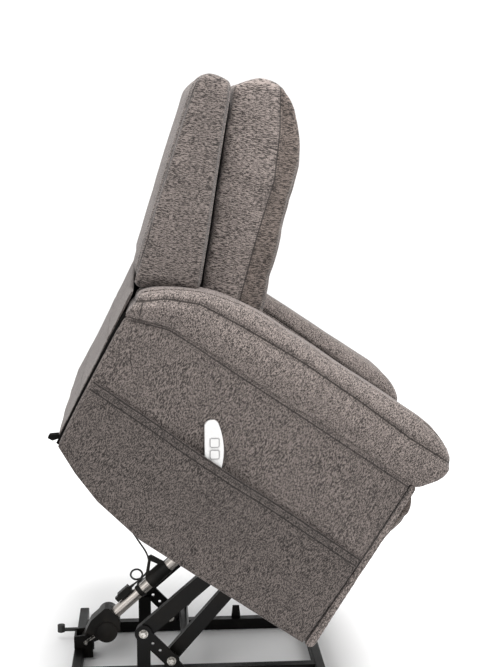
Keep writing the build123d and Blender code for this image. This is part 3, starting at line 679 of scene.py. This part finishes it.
class CHAIR_OT_back_cushion(PieceOperator):
    """Back cushion with a boxed side panel and two faint tucks across its front"""
    bl_idname = "chair.back_cushion"
    bl_label = "Back cushion"

    def execute(self, context):
        voxel = context.scene.chair_cloth.voxel
        pad = copy_of("back_cushion_cover", "back_cushion")
        remesh(pad, voxel, 14)
        p = points_of(pad)
        s = seated(p)
        depth = back_front(s)
        inward = np.array([-0.93, 0.0, -0.37])
        for (x, z), sink in BACK_TUCKS:
            along = (s[:, 0] - x) * inward[2] * -1 + (s[:, 2] - z) * -inward[0]
            front = smooth_step((depth - 0.05) / 0.09)
            width = np.where(along > 0, 0.014, 0.009)
            s += inward * (sink * np.exp(-(along / width) ** 2) * front)[:, None]
        edge = np.clip((np.abs(s[:, 1]) - 0.20) / 0.062, 0, 1)
        front = smooth_step((depth - 0.08) / 0.16)
        s[:, 1] -= np.sign(s[:, 1]) * 0.016 * edge ** 2 * front
        put_points(pad, raised(s))
        flank = np.abs(s[:, 1]) > SEAT_HALF - 0.03
        gap = line_offset(s[:, 0], s[:, 2], BACK_SIDE_SEAM)[0]
        held = np.where((depth < 0.018) | (s[:, 2] < 0.512), 1.0, 0.0)
        held = np.where(flank & (np.abs(gap) < 0.6 * voxel), 1.0, held)
        fill(pad, held, 0.006)
        ripple(pad, 0.0035, 0.11, 1, (1, 1, 1.6))
        refine(pad)
        sew(pad, [BACK_SIDE_SEAM], lambda q: np.abs(q[:, 1]) > SEAT_HALF - 0.045, 0.0022)
        s = seated(points_of(pad))
        ahead = -line_offset(s[:, 0], s[:, 2], BACK_SIDE_SEAM)[0]
        attribute(pad, "panel", smooth_step(0.5 + ahead / 0.006))
        settle(pad, "backrest", cloth_named("back"), ["back_cushion"])
        return {"FINISHED"}


class CHAIR_OT_back_shell(PieceOperator):
    """Padded outer back, seamed round its rear"""
    bl_idname = "chair.back_shell"
    bl_label = "Outer back"

    def execute(self, context):
        voxel = context.scene.chair_cloth.voxel
        shell = copy_of("back_shell_cover", "back_shell")
        remesh(shell, voxel, 7)
        s = seated(points_of(shell))
        height = -s[:, 0] * math.sin(BACK_LEAN) + s[:, 2] * math.cos(BACK_LEAN)
        hang = 0.012 * (1 - smooth_step((height - height.min()) / 0.12))
        s[:, 0] += hang * math.sin(BACK_LEAN)
        s[:, 2] -= hang * math.cos(BACK_LEAN)
        put_points(shell, raised(s))
        gap = line_offset(s[:, 0], s[:, 2], SHELL_SEAM)[0]
        flank = np.abs(s[:, 1]) > 0.325
        held = np.where(back_front(s) > -0.022, 1.0, 0.0)
        held = np.where(flank & (np.abs(gap) < 0.6 * voxel), 1.0, held)
        fill(shell, held, 0.007, 3.0)
        ripple(shell, 0.0028, 0.13, 4)
        refine(shell)
        sew(shell, [SHELL_SEAM, SHELL_WELT], lambda q: np.abs(q[:, 1]) > 0.32)
        settle(shell, "backrest", cloth_named("shell"), ["back_shell"])
        return {"FINISHED"}


# ------------------------------------------------------------------ seat
class CHAIR_OT_seat_cushion(PieceOperator):
    """Crowned seat cushion with a seam along its front roll"""
    bl_idname = "chair.seat_cushion"
    bl_label = "Seat cushion"

    def execute(self, context):
        pad = copy_of("seat_cushion_cover", "seat_cushion")
        remesh(pad, context.scene.chair_cloth.voxel, 10)
        s = seated(points_of(pad))
        across = np.clip(1 - (s[:, 1] / SEAT_HALF) ** 2, 0, 1)
        fore = np.clip(1 - ((s[:, 0] + 0.30) / 0.32) ** 2, 0, 1)
        s[:, 2] += np.where(s[:, 2] > 0.44, 0.012 * (across * fore), 0)
        put_points(pad, raised(s))
        held = np.where((s[:, 2] < 0.372) | (s[:, 0] < -0.57), 1.0, 0.0)
        fill(pad, held, 0.008)
        ripple(pad, 0.003, 0.12, 2)
        refine(pad)
        sew(pad, [[(-0.080, 0.340), (-0.080, 0.520)]], lambda q: q[:, 2] > 0.36)
        settle(pad, "chair", cloth_named("front"), ["seat_cushion"])
        return {"FINISHED"}


class CHAIR_OT_leg_pad(PieceOperator):
    """Padded leg rest with two shallow tucks across it"""
    bl_idname = "chair.leg_pad"
    bl_label = "Leg rest pad"

    def execute(self, context):
        voxel = context.scene.chair_cloth.voxel
        pad = copy_of("leg_pad_cover", "leg_pad")
        remesh(pad, 0.9 * voxel, 8)
        s = seated(points_of(pad))
        front = smooth_step((s[:, 0] - 0.004) / 0.03)
        tucks = (0.400, 0.262)
        held = np.where(s[:, 0] < 0.0, 1.0, 0.0)
        for z in tucks:
            s[:, 0] -= 0.003 * np.exp(-((s[:, 2] - z) / 0.012) ** 2) * front
        put_points(pad, raised(s))
        fill(pad, held, 0.008)
        ripple(pad, 0.002, 0.10, 3)
        refine(pad)
        lines = [[(-0.1, z), (0.1, z)] for z in tucks]
        sew(pad, lines, lambda q: q[:, 0] > 0.008, 0.002)
        settle(pad, "legrest", cloth_named("front"), ["leg_pad"])
        return {"FINISHED"}


# ------------------------------------------------------------------ arms and sides
def seam_height(line, x):
    return np.interp(x, [p[0] for p in line], [p[1] for p in line])


class CHAIR_OT_arms(PieceOperator):
    """Pillow-topped arms: a rounded crest over a side roll, each pulled in at its seams"""
    bl_idname = "chair.arms"
    bl_label = "Arm pads"

    def execute(self, context):
        voxel = context.scene.chair_cloth.voxel * 0.82
        pad = copy_of("arm_pad_cover_right", "arm_pad_right")
        remesh(pad, voxel, 5)
        s = seated(points_of(pad))
        low, high = seam_height(ARM_FOOT_SEAM, s[:, 0]), seam_height(ARM_CREST_SEAM, s[:, 0])
        t = (s[:, 2] - low) / np.maximum(high - low, 0.02)
        belly = np.sin(np.pi * np.clip(t, 0, 1)) ** 0.7
        under = 0.008 * (1 - smooth_step(t / 0.55))
        pull = np.where(t < 1, 0.010 * (1 - belly) + under, 0.004 + 0.008 * smooth_step((t - 1) / 0.5))
        outer = s[:, 1] < -ARM_OUT + 0.030
        inner = s[:, 1] > -ARM_IN - 0.030
        s[:, 1] += np.where(outer, pull, 0) - np.where(inner, 0.4 * pull, 0)
        s[:, 2] -= 0.007 * (1 - smooth_step(t / 0.30))
        put_points(pad, raised(s))
        gap = line_offset(s[:, 0], s[:, 2], ARM_CREST_SEAM)[0]
        held = np.where(t < 0.07, 1.0, 0.0)
        held = np.where((np.abs(gap) < 0.6 * voxel) & (outer | inner), 1.0, held)
        fill(pad, held, 0.0075)
        ripple(pad, 0.0022, 0.09, 5)
        refine(pad)
        dart = [(-0.790, 0.514), (-0.777, 0.482)]
        sew(pad, [ARM_CREST_SEAM, dart], lambda q: q[:, 2] > 0.46)
        left = mirrored(pad, "arm_pad_cover_left")
        for piece, side in ((pad, "right"), (left, "left")):
            settle(piece, "chair", cloth_named("arm"), ["arm_pad_" + side])
        return {"FINISHED"}


class CHAIR_OT_sides(PieceOperator):
    """Padded side panels, their front bands and the inner sides of the arms"""
    bl_idname = "chair.sides"
    bl_label = "Side panels"

    def execute(self, context):
        cover = copy_of("side_panel_right", "side_cover_right")
        remesh(cover, 0.0070, 3)
        s = seated(points_of(cover))
        edge = np.minimum.reduce([
            -0.022 - s[:, 0], s[:, 0] + 0.80, seam_height(ARM_FOOT_SEAM, s[:, 0]) - s[:, 2],
            s[:, 2] - np.interp(-s[:, 0], [-p[0] for p in COVER_FOOT], [p[1] for p in COVER_FOOT])])
        crown = 0.0045 * (1 - np.exp(-np.clip(edge, 0, 1) / 0.045))
        s[:, 1] -= np.where(s[:, 1] < -COVER_OUT + 0.008, crown - 0.002, 0)
        s[:, 2] += 0.004 * smooth_step(1 - (seam_height(ARM_FOOT_SEAM, s[:, 0]) - s[:, 2]) / 0.03)
        put_points(cover, raised(s))
        ripple(cover, 0.0030, 0.16, 6, (1.0, 1, 0.7))
        refine(cover)
        sew(cover, [ROLL_SEAM], lambda q: q[:, 1] < -COVER_OUT + 0.012, 0.0018)
        band = copy_of("front_band_right", "arm_front_right")
        remesh(band, 0.0052, 4)
        ripple(band, 0.0012, 0.06, 8)
        refine(band)
        sew(band, [[(-0.0235, 0.02), (-0.0300, 0.52)]], lambda q: q[:, 1] < -0.39, 0.001)
        lining = copy_of("inner_arm_cover_right", "inner_arm_right")
        remesh(lining, 0.0065, 3)
        ripple(lining, 0.0020, 0.12, 9)
        refine(lining)
        attribute(lining, "seam", np.full(len(lining.data.vertices), 0.5))
        parts = ((cover, "side_panel_left", "side_cover_", "fabric_side", "side"),
                 (band, "front_band_left", "arm_front_", "fabric_side", "arm"),
                 (lining, "inner_arm_cover_left", "inner_arm_", "fabric_front", "front"))
        for piece, other, node, slot, finish in parts:
            left = mirrored(piece, other)
            settle(piece, "chair", cloth_named(finish), [node + "right"])
            settle(left, "chair", cloth_named(finish), [node + "left"])
        return {"FINISHED"}


class CHAIR_OT_pocket(PieceOperator):
    """Full-width side pocket with a double-stitched hem that stands open round the hand control"""
    bl_idname = "chair.pocket"
    bl_label = "Side pocket"

    def execute(self, context):
        hem = context.scene.chair_cloth.hem
        columns, rows = 150, 56
        foot = resample(COVER_FOOT[::-1], 0.002)
        u = np.linspace(0, 1, columns)
        v = np.linspace(0, 1, rows) ** 0.9
        foot = np.stack([np.interp(u, np.linspace(0, 1, len(foot)), foot[:, k]) for k in (0, 1)], 1)
        rear_top, front_top = np.array((-0.784, 0.304)), np.array((-0.030, 0.287))
        top = rear_top + (front_top - rear_top) * u[:, None]
        grid = foot[:, None] + (top - foot)[:, None] * v[None, :, None]
        x, z = grid[..., 0].ravel(), grid[..., 1].ravel()
        below = (top[:, None, 1] - grid[..., 1]).ravel()
        mouth = 1 - smooth_step((np.abs(x - POCKET_MOUTH) - 0.055) / 0.115)
        drop = 1 - smooth_step((below - 0.05) / 0.115)
        edge = np.minimum(np.minimum(x + 0.786, -0.028 - x), z - seam_height(COVER_FOOT[::-1], x))
        slack = 0.0035 * (1 - np.exp(-np.clip(edge, 0, 1) / 0.03))
        folds = np.array([noise.noise(Vector((a / 0.14, 3.1, c / 0.10))) for a, c in zip(x, z)])
        folds = 0.0025 * folds * np.clip(edge / 0.04, 0, 1)
        y = -(COVER_OUT + 0.0052 + slack + 0.0165 * mouth * drop + folds)
        y -= 0.0012 * (below < hem) + 0.0008 * (below < 0.003)
        points = raised(np.stack([x, y, z], 1))
        faces = [(i * rows + j, i * rows + j + 1, (i + 1) * rows + j + 1, (i + 1) * rows + j)
                 for i in range(columns - 1) for j in range(rows - 1)]
        mesh = bpy.data.meshes.new("pocket_cloth")
        mesh.from_pydata(points.tolist(), [], faces)
        pocket = new_piece("pocket_cloth", mesh)
        if normals_of(pocket)[:, 1].mean() > 0:
            mesh.flip_normals()
        finish_with(pocket, "SOLIDIFY", thickness=0.0030, offset=-1)
        finish_with(pocket, "SUBSURF", levels=1, render_levels=1)
        bpy.ops.object.shade_smooth()
        s = seated(points_of(pocket))
        line = [tuple(rear_top), tuple(front_top)]
        down, run = line_offset(s[:, 0], s[:, 2], line)
        down = np.abs(down)
        attribute(pocket, "seam", np.where(down < 0.5 * (hem + 0.003), down - 0.003, down - hem))
        attribute(pocket, "run", run)
        cloth = cloth_named("pocket")
        settle(pocket, "chair", cloth, ["side_pocket"])
        return {"FINISHED"}


class CHAIR_OT_rear_panel(PieceOperator):
    """Padded panel behind the seat, made in a lower and an upper part"""
    bl_idname = "chair.rear_panel"
    bl_label = "Rear panel"

    def execute(self, context):
        lower = [(-0.7775, 0.146), (-0.7805, 0.191), (-0.786, 0.239), (-0.7935, 0.305), (-0.7995, 0.355),
                 (-0.8065, 0.394)]
        upper = [(-0.8065, 0.392), (-0.8145, 0.467), (-0.8205, 0.5195)]
        ends = np.array([0.380, 0.3797, 0.3788, 0.3772])
        shares = np.array([0.35, 0.66, 0.90, 1.0])
        inside = np.linspace(0.370, -0.370, 75)
        ys = np.concatenate([ends, inside, -ends[::-1]])
        shares = np.concatenate([shares, np.ones(75), shares[::-1]])
        for name, line, node in (("rear_panel_low", lower, "rear_skirt"),
                                 ("rear_panel_top", upper, "rear_skirt_top")):
            line = resample(line, 0.008)
            run = np.gradient(line, axis=0)
            out = np.stack([-run[:, 1], run[:, 0]], 1) / np.linalg.norm(run, axis=1)[:, None]
            half = 0.0036 * np.concatenate([[0.6], np.ones(len(line) - 2), [0.6]])[:, None]
            outline = np.concatenate([line + out * half, (line - out * half)[::-1]])
            pad = loft(name, outline, np.concatenate([line, line[::-1]]), ys, shares)
            s = seated(points_of(pad))
            s[:, 0] -= 0.0020 * np.cos(np.pi * s[:, 1] / 0.76)
            put_points(pad, raised(s))
            ripple(pad, 0.0022, 0.10, 11)
            refine(pad)
            q = seated(points_of(pad))
            attribute(pad, "seam", q[:, 2] - 0.242)
            attribute(pad, "run", q[:, 1])
            settle(pad, "chair", cloth_named("rear"), [node])
            if node == "rear_skirt_top":
                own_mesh(pad)
        self.edges()
        return {"FINISHED"}


    def edges(self):
        """Black strips in the gap behind each side panel, as painted shade there, and the end of the
        panel's batten.
        """
        lining = hard_finish("black_lining_and_gap_shade")
        # Painted shade: a strip in the lining's black fills the gap behind each side panel's rear edge.
        for side, name in ((-1, "right"), (1, "left")):
            edge = resample(SIDE_REAR, 0.012)
            outline = np.concatenate([edge - (0.004, 0), edge[::-1] + (0.006, 0)])
            ys = np.array([0.384, 0.386, 0.392]) * side
            strip = loft("lining_edge_" + name, outline, outline, ys, (1, 1, 1))
            settle(strip, "chair", lining, [])
        end = np.array([(-0.797, 0.129), (-0.784, 0.130), (-0.774, 0.143), (-0.774, 0.150),
                        (-0.781, 0.150), (-0.7975, 0.137)])
        stub = loft("batten_end", end, end, np.array([-0.3805, -0.379, -0.359, -0.358]), (1, 1, 1, 1))
        finish_with(stub, "BEVEL", width=0.0012, segments=2, limit_method="ANGLE")
        settle(stub, "chair", lining, [])


# ------------------------------------------------------------------ hand control
class CHAIR_OT_hand_control(PieceOperator):
    """White hand control with a dark outline round each of its two buttons"""
    bl_idname = "chair.hand_control"
    bl_label = "Hand control"

    def execute(self, context):
        width = context.scene.chair_metal.outline
        white = Finish("control_white", Roughness=0.24, Coat_Weight=0.35, Coat_Roughness=0.12)
        haze = white.noise(white.place(), 260.0, 2.0)
        white.set("Base Color", white.mix(haze, (0.50, 0.495, 0.49), (0.55, 0.545, 0.54)))
        white.set("Roughness", haze.ramp(0.3, 0.7, 0.20, 0.30))
        pale = Finish("button_white", Roughness=0.42)
        haze = pale.noise(pale.place(), 500.0, 2.0)
        pale.set("Base Color", pale.mix(haze, (0.47, 0.465, 0.46), (0.53, 0.525, 0.52)))
        pale.set("Normal", pale.bump(haze, 0.0002, 0.4))
        grey = Finish("outline_grey", Roughness=0.5)
        haze = grey.noise(grey.place(), 300.0, 1.0)
        grey.set("Base Color", grey.mix(haze, (0.018, 0.018, 0.020), (0.035, 0.035, 0.038)))
        paint("handset_body", white.material)
        for button in ("up", "down"):
            node = "handset_button_" + button
            paint(node, pale.material)
            low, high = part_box(node)
            middle = (low + high) / 2
            ring = self.outline("button_outline_" + button, middle, high.x - low.x, low.y, width)
            settle(ring, "button_" + button, grey.material, [])
        return {"FINISHED"}

    def outline(self, name, middle, size, face_y, width):
        """A thin raised line just inside a button's rim."""
        bpy.ops.object.select_all(action="DESELECT")
        bpy.ops.mesh.primitive_plane_add(size=size - 0.0016, location=(middle.x, face_y, middle.z),
                                         rotation=(math.pi / 2, 0, 0))
        ring = bpy.context.object
        ring.name = name
        bpy.ops.object.mode_set(mode="EDIT")
        bpy.ops.mesh.bevel(offset=0.0042, segments=6, affect="VERTICES")
        bpy.ops.mesh.inset(thickness=width)
        bpy.ops.mesh.delete(type="FACE")
        bpy.ops.object.mode_set(mode="OBJECT")
        bpy.ops.object.transform_apply()
        finish_with(ring, "SOLIDIFY", thickness=0.0006, offset=0)
        finish_with(ring, "BEVEL", width=0.00012, segments=1)
        return ring


# ------------------------------------------------------------------ hardware
class CHAIR_OT_bolt_heads(PieceOperator):
    """Bright hexagon heads with washers on the lift's pivots"""
    bl_idname = "chair.bolt_heads"
    bl_label = "Pivot bolt heads"

    def execute(self, context):
        zinc = Finish("bright_zinc", Metallic=1.0, Roughness=0.28)
        wear = zinc.noise(zinc.place(), 220.0, 3.0)
        zinc.set("Base Color", zinc.mix(wear.ramp(0.35, 0.65), (0.20, 0.19, 0.17), (0.52, 0.50, 0.47)))
        zinc.set("Roughness", wear.ramp(0.3, 0.7, 0.20, 0.48))
        for node in ("lift_pivot_bolts", "chair_pivot_bolts", "clevis_pin", "actuator_rod"):
            paint(node, zinc.material)
        radius = context.scene.chair_metal.bolt_radius
        pivots = [("base", (-0.245, 0.128)), ("base", (-0.175, 0.054)),
                  ("chair", (-0.00569, 0.33603)), ("chair", (0.02054, 0.27894))]
        for body in ("base", "chair"):
            heads = []
            for x, z in [at for owner, at in pivots if owner == body]:
                for side in (-1, 1):
                    heads += self.head(x, side * BOLT_FACE, z, side, radius)
            bpy.ops.object.select_all(action="DESELECT")
            for head in heads:
                head.select_set(True)
            bpy.context.view_layer.objects.active = heads[0]
            bpy.ops.object.join()
            heads[0].name = "bolt_heads_" + body
            settle(heads[0], body, zinc.material, [])
        return {"FINISHED"}

    def head(self, x, y, z, side, radius):
        made = []
        washer, hexagon = (32, 1.28 * radius, 0.0, 0.0016), (6, radius, 0.0014, 0.0076)
        for corners, size, start, depth in (washer, hexagon):
            bpy.ops.object.select_all(action="DESELECT")
            bpy.ops.mesh.primitive_cylinder_add(
                vertices=corners, radius=size, depth=depth,
                location=(x, y + side * (start + depth / 2), z), rotation=(math.pi / 2, 0.3, 0))
            part = bpy.context.object
            bpy.ops.object.mode_set(mode="EDIT")
            b = bmesh.from_edit_mesh(part.data)
            for face in b.faces:
                face.select = len(face.verts) == corners
            bmesh.update_edit_mesh(part.data)
            if corners == 6:
                bpy.ops.mesh.inset(thickness=0.22 * size)
                bpy.ops.transform.translate(value=(0, side * 0.0006, 0))
            bpy.ops.object.mode_set(mode="OBJECT")
            bpy.ops.object.transform_apply()
            finish_with(part, "BEVEL", width=0.0006, segments=2)
            made.append(part)
        return made


class CHAIR_OT_gearbox_trim(PieceOperator):
    """Cast rim on the actuator's gear housing"""
    bl_idname = "chair.gearbox_trim"
    bl_label = "Gear housing trim"

    def execute(self, context):
        slope = ACTUATOR_SLOPE
        pivot = Vector((-0.398, 0, 0.050))
        ahead = Vector((math.cos(slope), 0, math.sin(slope)))
        above = Vector((-math.sin(slope), 0, math.cos(slope)))
        centre = pivot + ahead * 0.056 - above * 0.018
        bpy.ops.object.select_all(action="DESELECT")
        bpy.ops.mesh.primitive_cylinder_add(
            vertices=48, radius=0.0285, depth=0.003, location=centre + Vector((0, -0.0232, 0)),
            rotation=(math.pi / 2, 0, 0))
        rim = context.object
        rim.name = "housing_rim"
        bpy.ops.object.mode_set(mode="EDIT")
        b = bmesh.from_edit_mesh(rim.data)
        for face in b.faces:
            face.select = len(face.verts) == 48 and face.calc_center_median().z > 0
        bmesh.update_edit_mesh(rim.data)
        bpy.ops.mesh.inset(thickness=0.0035)
        bpy.ops.transform.translate(value=(0, 0.0016, 0))
        bpy.ops.mesh.inset(thickness=0.0135)
        bpy.ops.transform.translate(value=(0, -0.0022, 0))
        bpy.ops.object.mode_set(mode="OBJECT")
        bpy.ops.object.transform_apply()
        finish_with(rim, "BEVEL", width=0.0006, segments=2, limit_method="ANGLE")
        bpy.ops.object.shade_smooth_by_angle()
        settle(rim, "actuator_body", hard_finish("housing_black"), [])
        return {"FINISHED"}


def hard_finish(name):
    """The hard finishes of the lift, each made once."""
    if name in _made:
        return _made[name]
    if name == "housing_black":
        f = Finish(name, Roughness=0.45, Specular_IOR_Level=0.12)
        grain = f.noise(f.place(), 900.0, 2.0)
        dust = f.noise(f.place(), 18.0, 3.0)
        f.set("Base Color", f.mix(dust.ramp(0.35, 0.8), (0.005, 0.0045, 0.004), (0.016, 0.014, 0.012)))
        f.set("Roughness", grain.ramp(0.3, 0.7, 0.36, 0.58))
        f.set("Normal", f.bump(grain, 0.0003, 0.5))
    elif name == "steel_black":
        f = Finish(name, Roughness=0.36, Specular_IOR_Level=0.10)
        peel = f.noise(f.place(), 420.0, 2.0)
        dust = f.noise(f.place(), 9.0, 4.0)
        f.set("Base Color", f.mix(dust.ramp(0.45, 0.85), (0.0022, 0.0020, 0.0018), (0.009, 0.0075, 0.006)))
        f.set("Roughness", dust.ramp(0.3, 0.8, 0.28, 0.50))
        f.set("Normal", f.bump(peel, 0.00025, 0.6))
    elif name == "tube_silver":
        f = Finish(name, Metallic=1.0, Roughness=0.3)
        brushed = f.noise(f.place(-ACTUATOR_SLOPE, (30, 900, 900)), 1.0, 2.0)
        stain = f.noise(f.place(), 22.0, 2.0)
        metal = f.mix(brushed, (0.26, 0.235, 0.215), (0.46, 0.43, 0.40))
        f.set("Base Color", f.mix(stain.ramp(0.5, 0.9, 0.0, 0.4), metal, (0.14, 0.085, 0.060)))
        f.set("Roughness", brushed.ramp(0.3, 0.7, 0.22, 0.40))
        f.set("Normal", f.bump(brushed, 0.0001, 0.35))
    elif name == "plywood":
        f = Finish(name, Roughness=0.7)
        rings = f.noise(f.place(TILT, (2.5, 40, 60)), 1.0, 4.0, 0.6)
        f.set("Base Color", f.mix(rings.ramp(0.3, 0.7), (0.36, 0.22, 0.11), (0.60, 0.43, 0.26)))
        f.set("Roughness", rings.ramp(0.2, 0.8, 0.6, 0.8))
        f.set("Normal", f.bump(rings, 0.0005, 0.5))
    elif name == "black_lining_and_gap_shade":
        f = Finish(name, Roughness=0.95, Specular_IOR_Level=0.08)
        weave = f.noise(f.place(TILT, (1, 1, 1)), 1500.0, 1.0)
        f.set("Base Color", f.mix(weave, (0.0012, 0.0012, 0.0012), (0.005, 0.0045, 0.004)))
        f.set("Normal", f.bump(weave, 0.0004, 0.5))
    elif name == "foot_rubber":
        f = Finish(name, Roughness=0.8)
        grain = f.noise(f.place(), 600.0, 2.0)
        f.set("Base Color", f.mix(grain, (0.010, 0.010, 0.010), (0.028, 0.027, 0.026)))
        f.set("Normal", f.bump(grain, 0.0004, 0.5))
    _made[name] = f.material
    return f.material


def paint(node, material):
    """Give a CAD node a better material."""
    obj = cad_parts[node]
    if not obj.material_slots:
        obj.data.materials.append(material)
    for slot in obj.material_slots:
        slot.material = material


class CHAIR_OT_hard_finishes(PieceOperator):
    """Black paint, plastic, brushed tube, plywood and lining on the frame's own parts"""
    bl_idname = "chair.hard_finishes"
    bl_label = "Hard finishes"

    def execute(self, context):
        plan = {
            "steel_black": (
                "base_rail_", "base_rear_tube", "base_front_tube", "lift_stand_", "actuator_clevis",
                "upper_link_", "upper_cross_tube", "lower_link_", "lower_cross_tube", "lift_mount_",
                "lift_cross_tube", "seat_rail_", "recline_brackets", "leg_drive_arms", "leg_links",
                "motor_can"),
            "housing_black": (
                "gear_housing", "cable_clips", "motor_plug", "control_box", "tube_end_caps"),
            "tube_silver": ("actuator_tube",),
            "foot_rubber": ("base_glides", "rear_bumper"),
            "plywood": ("seat_rear_rail",),
            "black_lining_and_gap_shade": ("side_frame_", "seat_straps", "back_board", "seat_front_rail", "leg_board"),
        }
        for finish, starts in plan.items():
            for node in sorted(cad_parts):
                if node.startswith(starts):
                    paint(node, hard_finish(finish))
        return {"FINISHED"}


# ------------------------------------------------------------------ panel and run
OPERATORS = (
    CHAIR_OT_stage, CHAIR_OT_motor_lead, CHAIR_OT_back_cushion, CHAIR_OT_back_shell,
    CHAIR_OT_seat_cushion, CHAIR_OT_leg_pad, CHAIR_OT_arms, CHAIR_OT_sides, CHAIR_OT_pocket,
    CHAIR_OT_rear_panel, CHAIR_OT_hand_control, CHAIR_OT_bolt_heads, CHAIR_OT_gearbox_trim,
    CHAIR_OT_hard_finishes,
)


class CHAIR_PT_panel(bpy.types.Panel):
    """Buttons for each group of pieces"""
    bl_label = "Lift recliner"
    bl_idname = "CHAIR_PT_panel"
    bl_space_type = "VIEW_3D"
    bl_region_type = "UI"
    bl_category = "Recliner"

    def draw(self, context):
        for group in ("chair_cloth", "chair_metal", "chair_studio"):
            settings = getattr(context.scene, group)
            box = self.layout.box()
            for key in settings.__annotations__:
                box.prop(settings, key)
        for operator in OPERATORS:
            self.layout.operator(operator.bl_idname)


CLASSES = (ChairCloth, ChairMetal, ChairStudio, *OPERATORS, CHAIR_PT_panel)


def register():
    for one in CLASSES:
        bpy.utils.register_class(one)
    bpy.types.Scene.chair_cloth = bpy.props.PointerProperty(type=ChairCloth)
    bpy.types.Scene.chair_metal = bpy.props.PointerProperty(type=ChairMetal)
    bpy.types.Scene.chair_studio = bpy.props.PointerProperty(type=ChairStudio)


def unregister():
    for name in ("chair_cloth", "chair_metal", "chair_studio"):
        delattr(bpy.types.Scene, name)
    for one in reversed(CLASSES):
        bpy.utils.unregister_class(one)


def main():
    register()
    for operator in OPERATORS:
        group, name = operator.bl_idname.split(".")
        getattr(getattr(bpy.ops, group), name)()
    bpy.ops.object.select_all(action="DESELECT")


if __name__ == "__main__":
    main()
